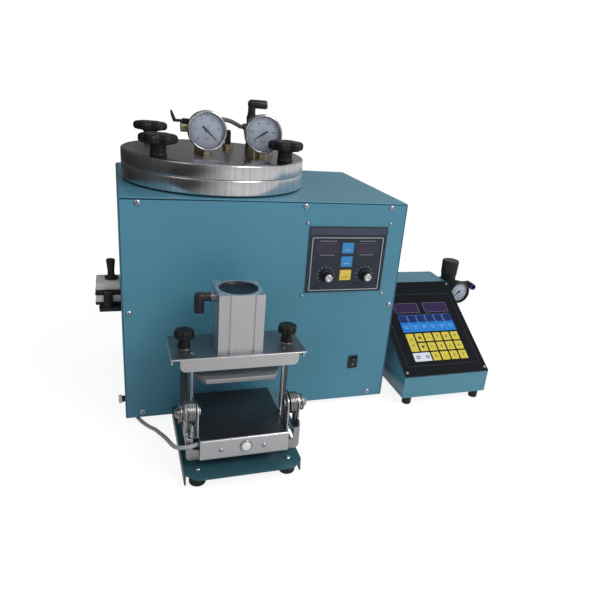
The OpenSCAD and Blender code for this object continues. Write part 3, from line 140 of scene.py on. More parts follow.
# In reflections the bench is dim to the left and bright to the right, as the room is
along = add("SeparateXYZ", ("Vector", add("TexCoord").outputs["Object"])).outputs["X"]
shine = add("Emission", ("Strength", mapped(add, along, 0.02, 0.62, -1.0, 0.25)), Color=(1, 1, 1, 1))
mirrored = add("MixShader", (0, seen.outputs["Is Glossy Ray"]), (1, matt), (2, shine))
glowing = add("Math", (0, seen.outputs["Is Camera Ray"]), (1, 0.80), operation="MULTIPLY")
add("OutputMaterial", ("Surface", add("MixShader", (0, glowing), (1, mirrored), (2, glow))))
bench.materials.append(white)

for name, place, aim, watts, size in (
        ("window_light", (1.1, -1.5, 1.9), (0.0, 0.0, 0.2), 34, 1.3),
        ("fill_light", (-1.7, -1.2, 1.2), (-0.1, 0.0, 0.15), 4, 1.2)):
    lamp = bpy.data.lights.new(name, "AREA")
    lamp.energy, lamp.size, lamp.shape = watts, size, "DISK"
    holder = bpy.data.objects.new(name, lamp)
    holder.location = place
    holder.rotation_euler = (Vector(aim) - Vector(place)).to_track_quat("-Z", "Y").to_euler()
    bpy.context.scene.collection.objects.link(holder)


# ---------------------------------------------------------------- start button's cable
# A grey PVC cable about 5 mm thick, from the switch behind the tray's front lip,
# past the clamp's left side and under the cabinet, up to a terminal inside it.
def grid_mesh(name, grids):
    """Makes one mesh of several closed sheets. In each grid, row i joins row i + 1 by quads and the
    last column joins the first; equal points are merged, so a row of one point is a pole."""
    points, quads, uvs, count = [], [], [], 0
    for p in grids:
        rows, cols = p.shape[:2]
        i, j = np.meshgrid(np.arange(rows - 1), np.arange(cols), indexing="ij")
        k = (j + 1) % cols
        quads.append(count + np.stack([i * cols + j, i * cols + k, (i + 1) * cols + k,
                                       (i + 1) * cols + j], -1).reshape(-1, 4))
        around, along = j / cols, i / max(rows - 1, 1)
        step_u, step_v = 1 / cols, 1 / max(rows - 1, 1)
        uvs.append(np.stack([around, along, around + step_u, along, around + step_u, along + step_v,
                             around, along + step_v], -1).reshape(-1, 2))
        points.append(p.reshape(-1, 3))
        count += rows * cols
    points, quads, uvs = np.concatenate(points), np.concatenate(quads), np.concatenate(uvs)
    mesh = bpy.data.meshes.new(name)
    mesh.vertices.add(len(points))
    mesh.vertices.foreach_set("co", points.astype(np.float32).ravel())
    mesh.loops.add(quads.size)
    mesh.loops.foreach_set("vertex_index", quads.astype(np.int32).ravel())
    mesh.polygons.add(len(quads))
    mesh.polygons.foreach_set("loop_start", np.arange(0, quads.size, 4, dtype=np.int32))
    mesh.polygons.foreach_set("loop_total", np.full(len(quads), 4, dtype=np.int32))
    mesh.update(calc_edges=True)
    mesh.uv_layers.new(name="wrap").data.foreach_set("uv", uvs.astype(np.float32).ravel())
    work = bmesh.new()
    work.from_mesh(mesh)
    bmesh.ops.remove_doubles(work, verts=work.verts, dist=2e-6)
    bmesh.ops.dissolve_degenerate(work, edges=work.edges, dist=1e-7)
    bmesh.ops.recalc_face_normals(work, faces=work.faces)
    work.to_mesh(mesh)
    work.free()
    return mesh


def place_piece(name, shape, body, material, sharp=35, instead_of=(), even=False):
    """Puts a finished mesh, or one made of closed sheets, into the scene as a piece of a CAD body,
    smooth up to the given angle, and where asked with its shading led by its large faces."""
    mesh = shape if isinstance(shape, bpy.types.Mesh) else grid_mesh(name, shape)
    mesh.shade_smooth()
    mesh.set_sharp_from_angle(angle=math.radians(sharp))
    piece = bpy.data.objects.new(name, mesh)
    bpy.context.scene.collection.objects.link(piece)
    mesh.materials.append(material)
    if body:
        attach(piece, body)
    if instead_of:
        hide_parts(*instead_of)
    if even:
        piece.modifiers.new("even_shading", "WEIGHTED_NORMAL").keep_sharp = True
    return piece


def carried_ring(path, outline):
    """Carries an outline along a path: at each point the outline's two numbers go along two
    directions square to the path, turned as little as possible from one point to the next."""
    path = np.asarray(path, float)
    ahead = np.gradient(path, axis=0)
    ahead /= np.linalg.norm(ahead, axis=1, keepdims=True)
    side = np.cross(ahead[0], (0, 0, 1.0))
    if np.linalg.norm(side) < 0.1:
        side = np.cross(ahead[0], (0, 1.0, 0))
    sides = []
    for way in ahead:
        side = side - way * (side @ way)
        side = side / np.linalg.norm(side)
        sides.append(side)
    sides = np.array(sides)
    ups = np.cross(sides, ahead)
    rings = path[:, None] + outline[..., 0, None] * sides[:, None] + outline[..., 1, None] * ups[:, None]
    first, last = path[:1, None].repeat(rings.shape[1], 1), path[-1:, None].repeat(rings.shape[1], 1)
    return np.concatenate([first, rings, last])


def round_tube(path, radius, around=16):
    """A circle of the given radius, one number or one for each point, carried along a path."""
    a = np.linspace(0, 2 * math.pi, around, endpoint=False)
    radius = np.broadcast_to(np.asarray(radius, float), (len(path),))
    circle = np.stack([np.cos(a), np.sin(a)], -1)[None] * radius[:, None, None]
    return carried_ring(path, circle)


def flowing(points, steps):
    """Smooth curve through points: each stretch is the cubic whose slope at a point is half the
    step from the point before it to the point after it."""
    p = np.asarray(points, float)
    p = np.concatenate([p[:1], p, p[-1:]])
    t = np.linspace(0, 1, steps, endpoint=False)[None, :, None]
    a, b, c, d = (p[i:len(p) - 3 + i][:, None] for i in range(4))
    curve = 0.5 * (2 * b + (c - a) * t + (2 * a - 5 * b + 4 * c - d) * t ** 2
                   + (3 * b - a - 3 * c + d) * t ** 3)
    return np.concatenate([curve.reshape(-1, 3), p[-1:]])


def new_material(name):
    """An empty material, the function that adds its nodes, and a point's place in metres."""
    material = bpy.data.materials.new(name)
    add = nodes_of(material)
    return material, add, add("TexCoord").outputs["Object"]


def noise(add, where, scale, detail, roughness=0.5):
    """Soft random patches, about one for each 1/scale of a metre."""
    return add("TexNoise", ("Vector", where), Scale=scale, Detail=detail, Roughness=roughness)


def ramped(add, source, dark, light, start=0.3, stop=0.7):
    """A colour that goes from dark to light while the source goes from start to stop."""
    ramp = add("ValToRGB", ("Fac", source))
    for element, place, colour in zip(ramp.color_ramp.elements, (start, stop), (dark, light)):
        element.position, element.color = place, (*colour, 1)
    return ramp


def toned(colour, factor):
    """The colour made darker or lighter by a factor."""
    return [min(1, c * factor) for c in colour]


def surface(add, colour, rough, height, bump, distance, **more):
    """Ends a material: a colour and a roughness, with the relief that a height gives."""
    relief = add("Bump", ("Height", height), Strength=bump, Distance=distance)
    add("OutputMaterial", ("Surface", add("BsdfPrincipled", ("Base Color", colour), ("Roughness", rough),
                                          ("Normal", relief), **more)))


def moulded(name, colour, rough, spread=0.12, grain=900.0, bump=0.08, coat=0.0, patch=9.0, gleam=0.3):
    """Plastic, rubber or paint: a colour that drifts a little over patches, roughness that varies
    with them, and a fine grain in the surface."""
    material, add, where = new_material(name)
    drift = noise(add, where, patch, 4.0)
    tint = ramped(add, drift, toned(colour, 1 - spread), toned(colour, 1 + spread))
    gloss = mapped(add, drift, max(0.02, rough * 0.85), min(1.0, rough * 1.15))
    surface(add, tint, gloss, noise(add, where, grain, 2.0), bump, 0.0004,
            Coat_Weight=coat, Specular_IOR_Level=gleam)
    return material


mm = 0.001
clamp_x = (cab_lo[0] + cab_hi[0]) / 2 - 0.061
face_y = cab_lo[1]
cable_route = np.array([
    (-6.1, -143.5, 49), (-16, -143.7, 49.5), (-28, -143.9, 50.5), (-39, -144.1, 51.8), (-48, -144.4, 53),
    (-54, -145.3, 54), (-60, -148.1, 55), (-66, -151.4, 55.9), (-72, -152.6, 56.2), (-78, -151.6, 55.6),
    (-83, -147.4, 53.9), (-86.4, -139, 51.2), (-88.6, -127, 47), (-90.5, -112, 41.2), (-93, -94, 34),
    (-97, -72, 25.4), (-102, -49, 16.8), (-109, -27, 8.4), (-116, -8, 3.4), (-122, 6, 2.8),
    (-125, 15, 3.4), (-127, 22.5, 8), (-128, 29, 14.6), (-128, 33, 17), (-128, 35.5, 17),
    (-128, 38, 17)], float) * mm + (clamp_x, face_y, 0)
cable_line = flowing(cable_route, 6)
cable_skin = moulded("cable_pvc", (0.27, 0.275, 0.285), 0.42, spread=0.06)
cable = place_piece("button_cable_skin", [round_tube(cable_line, 0.0026)],
                    None, cable_skin, instead_of=("button_cable",))
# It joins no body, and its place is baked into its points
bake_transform(cable)


# ---------------------------------------------------------------- cabinet
# A cover of painted 1.5 mm steel bent over the top and both sides, a flat front panel
# set flush in it, and a floor and back in one, which stand on four rubber feet.
def softened(node, body, material, width, steps=2, angle=28, wide=(), sharp=35):
    """Copies a CAD node, merges its points, joins its flat triangles, and rounds each edge that turns
    by more than the angle. `wide` holds pairs of a width and a rule on an edge's middle, for the
    bends that are rounder than the rest. The copy stands for the node."""
    work = bmesh.new()
    work.from_mesh(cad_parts[node].data)
    bmesh.ops.remove_doubles(work, verts=work.verts, dist=3e-6)
    bmesh.ops.dissolve_limit(work, angle_limit=math.radians(0.5), verts=work.verts, edges=work.edges)
    for reach, rule, turns in [(w, r, 5) for w, r in wide] + [(width, None, steps)]:
        picked = [edge for edge in work.edges if len(edge.link_faces) == 2
                  and edge.calc_face_angle(0) > math.radians(angle)
                  and (rule is None or rule((edge.verts[0].co + edge.verts[1].co) / 2,
                                            (edge.verts[1].co - edge.verts[0].co).normalized()))]
        if picked:
            bmesh.ops.bevel(work, geom=picked, offset=reach, offset_type="OFFSET", segments=turns,
                            profile=0.5, affect="EDGES", clamp_overlap=True)
    bmesh.ops.remove_doubles(work, verts=work.verts, dist=1e-6)
    bmesh.ops.triangulate(work, faces=[f for f in work.faces if len(f.verts) > 4])
    mesh = bpy.data.meshes.new(node + "_soft")
    work.to_mesh(mesh)
    work.free()
    return place_piece(node + "_soft", mesh, body, material, sharp=sharp,
                       instead_of=(node,), even=True)


def painted(name, colour, rough=0.33, peel=0.10):
    """Sprayed paint: a drift of shade over a hand's breadth, the fine waves of the spray in the
    surface, and a clear gloss over the colour."""
    material, add, where = new_material(name)
    tint = ramped(add, noise(add, where, 6.0, 5.0), toned(colour, 0.93), toned(colour, 1.06), 0.32, 0.68)
    gloss = mapped(add, noise(add, where, 34.0, 6.0), rough * 0.8, rough * 1.25)
    surface(add, tint, gloss, noise(add, where, 420.0, 1.5), peel, 0.0005,
            Coat_Weight=0.08, Coat_Roughness=0.25, Specular_IOR_Level=0.32)
    return material


cab_mid = (cab_lo[0] + cab_hi[0]) / 2
cab_under, cab_top = cab_lo[2], cab_hi[2]
teal = painted("teal_paint", (0.060, 0.200, 0.276))
softened("wrap_cover", "cabinet", teal, 0.0004, wide=(
    (0.0032, lambda m, d: abs(d.y) > 0.99 and m.z > cab_top - 1e-4 and abs(m.x - cab_mid) > 0.199),
    (0.0013, lambda m, d: abs(m.y - face_y) < 1e-5
     and (m.z > cab_top - 1e-3 or abs(m.x - cab_mid) > 0.1995))))
for painted_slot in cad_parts["front_panel"].material_slots:
    painted_slot.material = teal
softened("chassis", "cabinet", teal, 0.0004)
foot_rubber = moulded("foot_rubber", (0.018, 0.018, 0.020), 0.62, grain=2600.0, bump=0.25)
softened("rubber_feet", "cabinet", foot_rubber, 0.0006, angle=40)


# ---------------------------------------------------------------- screws
# Domed machine screws, zinc plated, with a cross recess: large ones round the front
# panel and on the base plate, small ones round the control plate and on the keypad.
def facing(way):
    """Three directions square to each other, the third along the given way."""
    w = np.asarray(way, float) / np.linalg.norm(way)
    u = np.cross((0, 0, 1.0) if abs(w[2]) < 0.9 else (0, 1.0, 0), w)
    u /= np.linalg.norm(u)
    return u, np.cross(w, u), w


def turned(profile, centre, way=(0, 0, 1), around=64, lobes=None):
    """Turns a profile of radii and heights about an axis: point = centre + radius * (cos a of one
    cross direction + sin a of the other) + height along the axis. `lobes` changes the radius by
    angle."""
    profile = np.asarray(profile, float)
    u, v, w = facing(way)
    a = np.linspace(0, 2 * math.pi, around, endpoint=False)
    radius, rise = profile[:, :1], profile[:, 1:2]
    radius = radius * np.ones_like(a) if lobes is None else lobes(radius, a[None])
    return (np.asarray(centre) + (radius * np.cos(a))[..., None] * u
            + (radius * np.sin(a))[..., None] * v + (rise * np.ones_like(a))[..., None] * w)


def knurled(share, inside, steep, ribs):
    """A rule for `turned`: outside a radius, square ribs raise and lower it by a share of itself."""
    return lambda r, a: r * (1 + share * np.clip((r - inside) * steep, 0, 1) * np.sign(np.cos(ribs * a)))


def fluted(deep, inside, over, flutes, rise=1, narrow=1):
    """A rule for `turned`: outside a radius, it falls by up to `deep` between soft lobes."""
    return lambda r, a: (r - deep * np.clip((r - inside) / over, 0, 1) ** rise
                         * (0.5 - 0.5 * np.cos(flutes * a)) ** narrow)


def eased(points, reach, steps=4, closed=False):
    """Rounds each corner of a line: from A, `reach` before the corner C, to B, `reach` after it, the
    line becomes (1-t)^2 A + 2t(1-t) C + t^2 B."""
    p = np.asarray(points, float)
    back, ahead = np.roll(p, 1, 0) - p, np.roll(p, -1, 0) - p
    far_back = np.maximum(np.linalg.norm(back, axis=1, keepdims=True), 1e-9)
    far_ahead = np.maximum(np.linalg.norm(ahead, axis=1, keepdims=True), 1e-9)
    cut = np.minimum(np.broadcast_to(np.asarray(reach, float).reshape(-1, 1), (len(p), 1)),
                     0.48 * np.minimum(far_back, far_ahead))
    if not closed:
        cut = cut * np.r_[0, np.ones(len(p) - 2), 0][:, None]
    t = np.linspace(0, 1, steps)[None, :, None]
    a, b = (p + back / far_back * cut)[:, None], (p + ahead / far_ahead * cut)[:, None]
    return ((1 - t) ** 2 * a + 2 * t * (1 - t) * p[:, None] + t ** 2 * b).reshape(-1, p.shape[1])


def lathed(profile, ease, centre, way=(0, 0, 1), around=64, lobes=None, steps=4, closed=False):
    """A profile in millimetres, its corners eased, turned about an axis; a closed profile makes a
    ring."""
    sheet = turned(eased(np.array(profile, float) * mm, ease * mm, steps, closed), centre, way, around, lobes)
    return np.concatenate([sheet, sheet[:1]]) if closed else sheet


def about_axis(add, where, centre):
    """A point's distance from an upright axis, its angle round the axis and its height."""
    apart = add("VectorMath", (0, where), (1, tuple(centre)), operation="SUBTRACT")
    flat = add("VectorMath", (0, apart), (1, (1, 1, 0)), operation="MULTIPLY")
    parts = add("SeparateXYZ", ("Vector", apart)).outputs
    angle = add("Math", (0, parts["Y"]), (1, parts["X"]), operation="ARCTAN2")
    return add("VectorMath", (0, flat), operation="LENGTH").outputs["Value"], angle, parts["Z"]


def metal(name, colour, rough, stretch=(1, 1, 1), scale=300.0, depth=0.10, spread=0.10, about=None):
    """Bare or plated metal: fine marks drawn out along one direction, or in rings about an axis, in
    the colour, roughness and surface, over a slow drift of haze."""
    material, add, where = new_material(name)
    if about is None:
        drawn = add("VectorMath", (0, where), (1, stretch), operation="MULTIPLY")
    else:
        radius, angle, height = about_axis(add, where, about)
        slow = add("Math", (0, angle), (1, stretch[1] * 0.01), operation="MULTIPLY")
        drawn = add("CombineXYZ", ("X", radius), ("Y", slow), ("Z", height))
    marks = noise(add, drawn, scale, 4.0)
    hazy = add("MixRGB", (1, marks), (2, noise(add, where, 14.0, 3.0)), Fac=0.25)
    tint = ramped(add, hazy, toned(colour, 1 - spread), toned(colour, 1 + spread))
    gloss = mapped(add, hazy, rough * 0.75, rough * 1.3, 0.3, 0.7)
    surface(add, tint, gloss, marks, depth, 0.0003, Metallic=1.0)
    return material


zinc = metal("zinc_plate", (0.52, 0.58, 0.64), 0.30, scale=500.0)
softened("panel_screws", "cabinet", zinc, 0.0003, angle=40)
# Painted shadow: the screws' cross recesses are dark bars that stand in for the shade inside them
recess_painted_shadow = moulded("recess_shadow", (0.012, 0.012, 0.013), 0.7)


def cross_recess(middle, way, size):
    """The cross of a driver in a screw's dome: two flat bars with eased ends, sunk in its top."""
    u, v, w = facing(way)
    bars = []
    for a, b in ((u, v), (v, u)):
        rim = eased([(-size, -size * 0.16), (size, -size * 0.16), (size, size * 0.16),
                     (-size, size * 0.16)], size * 0.1, 3, closed=True)
        flat = np.asarray(middle) + rim[:, :1] * a + rim[:, 1:] * b
        bars.append(np.stack([flat.mean(0) + 0 * flat - w * 3e-4, flat - w * 3e-4, flat + w * 6e-5,
                              flat.mean(0) + 0 * flat + w * 6e-5]))
    return bars


screw_z = cab_top - cab_under - 0.007
front_places = [(-0.177, screw_z), (0.044, screw_z), (0.174, screw_z), (-0.1915, 0.162), (0.1915, 0.160),
                (-0.177, 0.008), (0.174, 0.008)]
recesses = [bar for x, z in front_places for bar in cross_recess(
    (cab_mid + x, face_y - 0.0020, cab_under + z), (0, -1, 0), 0.0016)]
place_piece("panel_screw_recesses", recesses, "cabinet", recess_painted_shadow)


# ---------------------------------------------------------------- control plate
# An anodised plate with printed outlines, two display windows, three film keys and two
# turning knobs, on the right of the front panel; the same dark face tops the console.
def printed(name, rows, origin, body, up=(0, 0, 1), rough=0.42, thick=0.00009, corner=0.0006,
            gleam=0.5):
    """Ink on a flat face. Each row is a rounded rectangle: the middle's two places, width, height,
    angle, three parts of its colour and its height off the face. A point = origin + x to the right +
    y * up + height, where x and y are the eight corner points turned by the angle."""
    rows = np.array(rows, float)
    across, up = np.array([1.0, 0, 0]), np.asarray(up, float) / np.linalg.norm(up)
    out = np.cross(across, up)
    wide, tall = rows[:, 2:3] / 2, rows[:, 3:4] / 2
    cut = np.minimum(corner, 0.7 * np.minimum(wide, tall))
    sx, sy = np.array([-1, 1, 1, 1, 1, -1, -1, -1.0]), np.array([-1, -1, -1, 1, 1, 1, 1, -1.0])
    ix, iy = np.array([1, 1, 0, 0, 1, 1, 0, 0.0]), np.array([0, 0, 1, 1, 0, 0, 1, 1.0])
    x, y = sx * (wide - cut * ix), sy * (tall - cut * iy)
    c, s = np.cos(rows[:, 4:5]), np.sin(rows[:, 4:5])
    x, y = rows[:, 0:1] + c * x - s * y, rows[:, 1:2] + s * x + c * y
    flat = np.asarray(origin) + x[..., None] * across + y[..., None] * up
    low = flat + rows[:, 8, None, None] * out
    points = np.concatenate([low, low + thick * out], 1).reshape(-1, 3)
    k = np.arange(8)
    faces = ([k[::-1], k + 8] + [np.array([i, (i + 1) % 8, (i + 1) % 8 + 8, i + 8]) for i in range(8)])
    mesh = bpy.data.meshes.new(name)
    mesh.from_pydata(points.tolist(), [], [(f + 16 * n).tolist() for n in range(len(rows)) for f in faces])
    shade = mesh.color_attributes.new("ink", "FLOAT_COLOR", "CORNER")
    ink = np.concatenate([rows[:, 5:8], np.ones((len(rows), 1))], 1)
    shade.data.foreach_set("color", np.repeat(ink, 48, axis=0).astype(np.float32).ravel())
    material, add, where = new_material(name + "_ink")
    laid = add("Attribute", attribute_name="ink").outputs["Color"]
    worn = mapped(add, noise(add, where, 60.0, 5.0), 0.86, 1.08)
    tint = add("VectorMath", (0, laid), (1, worn), operation="MULTIPLY")
    surface(add, tint, rough, noise(add, where, 1800.0, 2.0), 0.08, 0.0002, Specular_IOR_Level=gleam)
    piece = place_piece(name, mesh, body, material)
    mesh.polygons.foreach_set("use_smooth", np.zeros(len(mesh.polygons), bool))
    return piece


def outline_rows(x, y, width, height, line, colour, lift):
    """The four strokes of a rectangle's outline, as rows for `printed`."""
    return [(x + i * width / 2, y + j * height / 2, width if j else line, line if j else height, 0, *colour,
             lift) for i, j in ((0, 1), (0, -1), (-1, 0), (1, 0))]


dark_face = moulded("anodised_black", (0.020, 0.026, 0.038), 0.36, spread=0.10, grain=1500.0, bump=0.10)
softened("control_faces", "cabinet", dark_face, 0.0003)
film = moulded("window_film", (0.022, 0.016, 0.036), 0.10, spread=0.05, grain=700.0, bump=0.02, coat=0.6)
softened("display_windows", "cabinet", film, 0.0002)
plate_x, knob_out, window_wide = cab_mid + 0.112, 0.0305, 0.0318
plate_at = (plate_x, face_y - 0.0016, cab_under + 0.234)
pale_line, header = (0.42, 0.44, 0.48), (0.034, 0.045, 0.075)
plate_blue, plate_yellow, pale_ink = (0.020, 0.20, 0.46), (0.62, 0.44, 0.055), (0.33, 0.35, 0.40)
plate_print = [(0, 0.0425, 0.1165, 0.0100, 0, *header, 0.00001)]
plate_print += outline_rows(0, -0.0065, 0.109, 0.079, 0.0009, pale_line, 0.00002)
# Three film keys, each with a short dash low on it in place of a word
for key_y, key_ink, dash_y, dash, dash_ink in (
        (0.0180, plate_blue, 0.0150, 0.0090, pale_ink), (-0.0025, plate_blue, -0.0055, 0.0090, pale_ink),
        (-0.0230, plate_yellow, -0.0262, 0.0095, (0.10, 0.06, 0.01))):
    plate_print += [(0, key_y, 0.0178, 0.0158, 0, *key_ink, 0.00045),
                    (0, dash_y, dash, 0.0011, 0, *dash_ink, 0.0005)]
for side in (-1, 1):
    plate_print += outline_rows(side * knob_out, 0.018, window_wide, 0.0138, 0.0004, (0.09, 0.07, 0.14),
                                0.00002)
    for level, width in ((0.0282, 0.026), (0.0075, 0.022)):
        plate_print.append((side * knob_out, level, width, 0.0012, 0, 0.16, 0.16, 0.19, 0.00002))
    # Scale of short strokes round each knob
    for turn in np.radians(np.linspace(-45, 225, 11)):
        plate_print.append((side * knob_out + 0.0128 * math.cos(turn), -0.023 + 0.0128 * math.sin(turn),
                            0.0024, 0.0006, turn, *pale_ink, 0.00002))
printed("control_plate_print", plate_print, plate_at, "cabinet")

pot_black = moulded("knob_black", (0.016, 0.016, 0.017), 0.33, grain=1300.0, bump=0.12)
pot_silver = metal("spun_silver", (0.78, 0.78, 0.80), 0.22, scale=1200.0)
for side, name in ((-1, "left"), (1, "right")):
    foot = np.array([plate_x + side * knob_out, face_y - 0.0021, cab_under + 0.211])
    skirt = lathed([(0, 0), (8.6, 0), (8.6, 2.4), (6.8, 3.4), (6.2, 11.8), (5, 12.4), (0, 12.4)], 0.6, foot,
                   (0, -1, 0), 96, knurled(0.035, 0.0055, 900, 24))
    place_piece("pot_skirt_" + name, [skirt], "pot_" + name, pot_black, sharp=28,
                instead_of=("pot_knob_" + name,))
    cap = lathed([(0, 11.5), (5.7, 11.5), (5.7, 14.1), (5, 14.9), (3, 15), (2.6, 14.6), (0, 14.6)], 0.4,
                 foot, (0, -1, 0), 64)
    place_piece("pot_cap_" + name, [cap], "pot_" + name, pot_silver)


# ---------------------------------------------------------------- panel seam shadows
# The front panel sits inside the folded cover. The joint is printed as painted shade: a thin painted shadow
# under the top fold and a darker painted line down the right side.
panel_tall = cab_top - cab_under
seam_z, seam_tall = panel_tall / 2 - 0.001, panel_tall - 0.004
seam_shadows = [(0.1985, seam_z, 0.0010, seam_tall, 0, 0.008, 0.016, 0.022, 0),
         (-0.1987, seam_z, 0.0006, seam_tall, 0, 0.016, 0.045, 0.060, 0),
         (0, panel_tall - 0.0023, 0.3970, 0.0008, 0, 0.012, 0.034, 0.046, 0)]
printed("panel_seam_shadows", seam_shadows, (cab_mid, face_y, cab_under), "cabinet", thick=0.00003,
        gleam=0.2)


# ---------------------------------------------------------------- power rocker
# A black snap-in rocker switch low on the right of the front panel, in a moulded bezel,
# with its two halves marked I and O in white ink.
def figures(name, items, origin, material, body, up=(0, 0, 1)):
    """Digits and signs cut as thin letters on a face. Each item is a text, its middle's two places,
    its height and its angle."""
    across, up, thick = Vector((1, 0, 0)), Vector(up).normalized(), 0.00005
    out = across.cross(up)
    joined = bmesh.new()
    for text, x, y, size, angle in items:
        letters = bpy.data.curves.new("letters", "FONT")
        letters.body, letters.size, letters.extrude = text, size, thick
        letters.align_x, letters.align_y, letters.resolution_u = "CENTER", "CENTER", 3
        holder = bpy.data.objects.new("letters", letters)
        flat = bpy.data.meshes.new_from_object(holder)
        middle = Vector(origin) + across * x + up * y + out * thick
        flat.transform(Matrix.Translation(middle) @ Matrix((across, up, out)).transposed().to_4x4()
                       @ Matrix.Rotation(angle, 4, "Z"))
        joined.from_mesh(flat)
        bpy.data.objects.remove(holder)
        bpy.data.curves.remove(letters)
        bpy.data.meshes.remove(flat)
    mesh = bpy.data.meshes.new(name)
    joined.to_mesh(mesh)
    joined.free()
    return place_piece(name, mesh, body, material, sharp=20)


switch_black = moulded("switch_black", (0.020, 0.020, 0.022), 0.30, grain=1700.0, bump=0.10)
softened("rocker_bezel", "cabinet", switch_black, 0.0005)
softened("power_rocker", "rocker", switch_black, 0.0005)
white_ink = moulded("white_ink", (0.62, 0.62, 0.62), 0.5)
# The upper half of the rocker leans out by 17 degrees, the lower half lies flat
for sign, out, height, lean in (("I", 0.00356, 0.0695, 17.2), ("O", 0.00191, 0.0605, 0.9)):
    tip = math.radians(lean)
    figures("rocker_mark_" + sign.lower(), [(sign, 0, 0, 0.0034, 0)],
            (cab_mid + 0.142, face_y - out, cab_under + height), white_ink, "rocker",
            (0, -math.sin(tip), math.cos(tip)))


# ---------------------------------------------------------------- tank
# A turned aluminium pot let into the cabinet's top, under a thick turned ring that stands
# on a rubber gasket, with four steel studs for the lid's knobs.
lid_lo, lid_hi = map(np.array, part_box("lid_disc"))
tank_axis = (lid_lo[:2] + lid_hi[:2]) / 2
lid_under, lid_top = lid_lo[2], lid_hi[2]
axis_foot = (tank_axis[0], tank_axis[1], 0.0)


def upward(add, kind):
    """How far a face looks up, from -1 to 1, by its own or by its smoothed direction."""
    return add("SeparateXYZ", ("Vector", add("NewGeometry").outputs[kind])).outputs["Z"]


def lathe_with_painted_light(name, colour, painted_top_shade, rough, centre, ring_scale, reflection_streak_scale):
    """Turned metal: fine rings by distance from the axis on the flat faces, and upright streaks by angle on
    the rim, which paint reflections into its colour and also give its relief. The flat top is painted darker
    as painted shade, and keeps only a part of the rim's brightness."""
    material, add, where = new_material(name)
    radius, angle, height = about_axis(add, where, centre)
    reflection_streaks = noise(add, add("CombineXYZ", ("X", angle)), reflection_streak_scale, 4.0, 0.62)
    rings = noise(add, add("CombineXYZ", ("X", radius)), ring_scale, 3.0)
    haze = noise(add, where, 9.0, 4.0)
    top = mapped(add, upward(add, "True Normal"), 0, 1, 0.3, 0.9)
    # Painted light: upright streaks paint reflections into the rim's colour, and the top is painted darker as
    # painted shade
    rim_painted_reflection = mapped(add, reflection_streaks, 0.76, 1.16, 0.32, 0.66)
    worn = add("Math", (0, rings), (1, haze), operation="ADD")
    shaded_top_tone = mapped(add, worn, painted_top_shade * 0.82, painted_top_shade * 1.18, 0.7, 1.3)
    tone = add("MixRGB", (0, top), (1, rim_painted_reflection), (2, shaded_top_tone))
    tint = add("VectorMath", (0, tone), (1, tuple(colour)), operation="MULTIPLY")
    gloss = mapped(add, haze, rough * 1.3, rough * 0.8, 0.36, 0.64)
    fine = add("MixRGB", (0, top), (1, reflection_streaks), (2, rings))
    surface(add, tint, gloss, fine, 0.04, 0.0002, Metallic=1.0)
    return material


turned_alu = metal("turned_aluminium", (0.60, 0.59, 0.61), 0.30, stretch=(1, 14, 1), scale=520.0,
                   depth=0.10, spread=0.09, about=(tank_axis[0], tank_axis[1], 0))
ring_profile = eased([(0.0982, cab_top + 0.002), (0.1308, cab_top + 0.002), (0.132, cab_top + 0.0032),
                      (0.132, lid_under - 0.0012), (0.1312, lid_under - 0.0001), (0.109, lid_under - 0.0001),
                      (0.109, lid_under - 0.0024), (0.105, lid_under - 0.0024), (0.105, lid_under - 0.0001),
                      (0.1032, lid_under - 0.0001), (0.1032, lid_under - 0.003), (0.0982, lid_under - 0.003)],
                     0.0005, 3, closed=True)
ring = turned(ring_profile, axis_foot, around=192)
ring = np.concatenate([ring, ring[:1]])
# Painted light: the ring's rim carries painted reflection streaks and its top a painted shade
ring_metal = lathe_with_painted_light("ring_lathe_painted_light", (0.82, 0.81, 0.83), 0.7, 0.27, axis_foot, 700.0, 22.0)
place_piece("tank_ring_turned", [ring], "cabinet", ring_metal,
            instead_of=("tank_ring",))
softened("wax_tank", "cabinet", turned_alu, 0.0005, angle=40)
stud_steel = metal("stud_steel", (0.58, 0.58, 0.60), 0.28, stretch=(1, 1, 22), scale=260.0, depth=0.25)
softened("lid_studs", "cabinet", stud_steel, 0.0006, angle=40)
seal_rubber = moulded("seal_rubber", (0.022, 0.020, 0.019), 0.55, grain=1500.0, bump=0.15)
softened("tank_seals", "cabinet", seal_rubber, 0.0003, angle=40)
heater_mat = moulded("heater_mat", (0.40, 0.18, 0.05), 0.5, grain=700.0, bump=0.3)
softened("tank_heater", "cabinet", heater_mat, 0.0008, angle=40)


# ---------------------------------------------------------------- lid
# A 20 mm turned aluminium disc. Its top has the rings of the lathe, its rim is
# polished, and four black star knobs hold it down.
# Painted light: the lid's rim carries painted reflection streaks and its flat top is painted darker as
# painted shade
lid_metal = lathe_with_painted_light("lid_lathe_painted_light", (0.82, 0.81, 0.83), 0.50, 0.25, axis_foot, 700.0, 26.0)
lid_profile = eased([(0, lid_under), (0.1310, lid_under), (0.132, lid_under + 0.0008),
                     (0.132, lid_top - 0.0018), (0.1302, lid_top), (0.060, lid_top),
                     (0.0592, lid_top - 0.0002), (0, lid_top - 0.0002)], 0.0007, 4)
place_piece("lid_disc_turned", [turned(lid_profile, axis_foot, around=192)],
            "lid", lid_metal, instead_of=("lid_disc",))

star_black = moulded("phenolic_black", (0.011, 0.0107, 0.0107), 0.38, spread=0.2, grain=700.0, bump=0.12,
                     gleam=0.25)
star_profile = [(0, 0.4), (11, 0.4), (11.4, 2), (10.4, 6), (10.4, 15), (14, 16.6), (21.5, 16.6), (25, 18.8),
                (25.5, 22.8), (25, 26.4), (21.5, 28.8), (12, 29), (8, 28.4), (0, 28.4)]
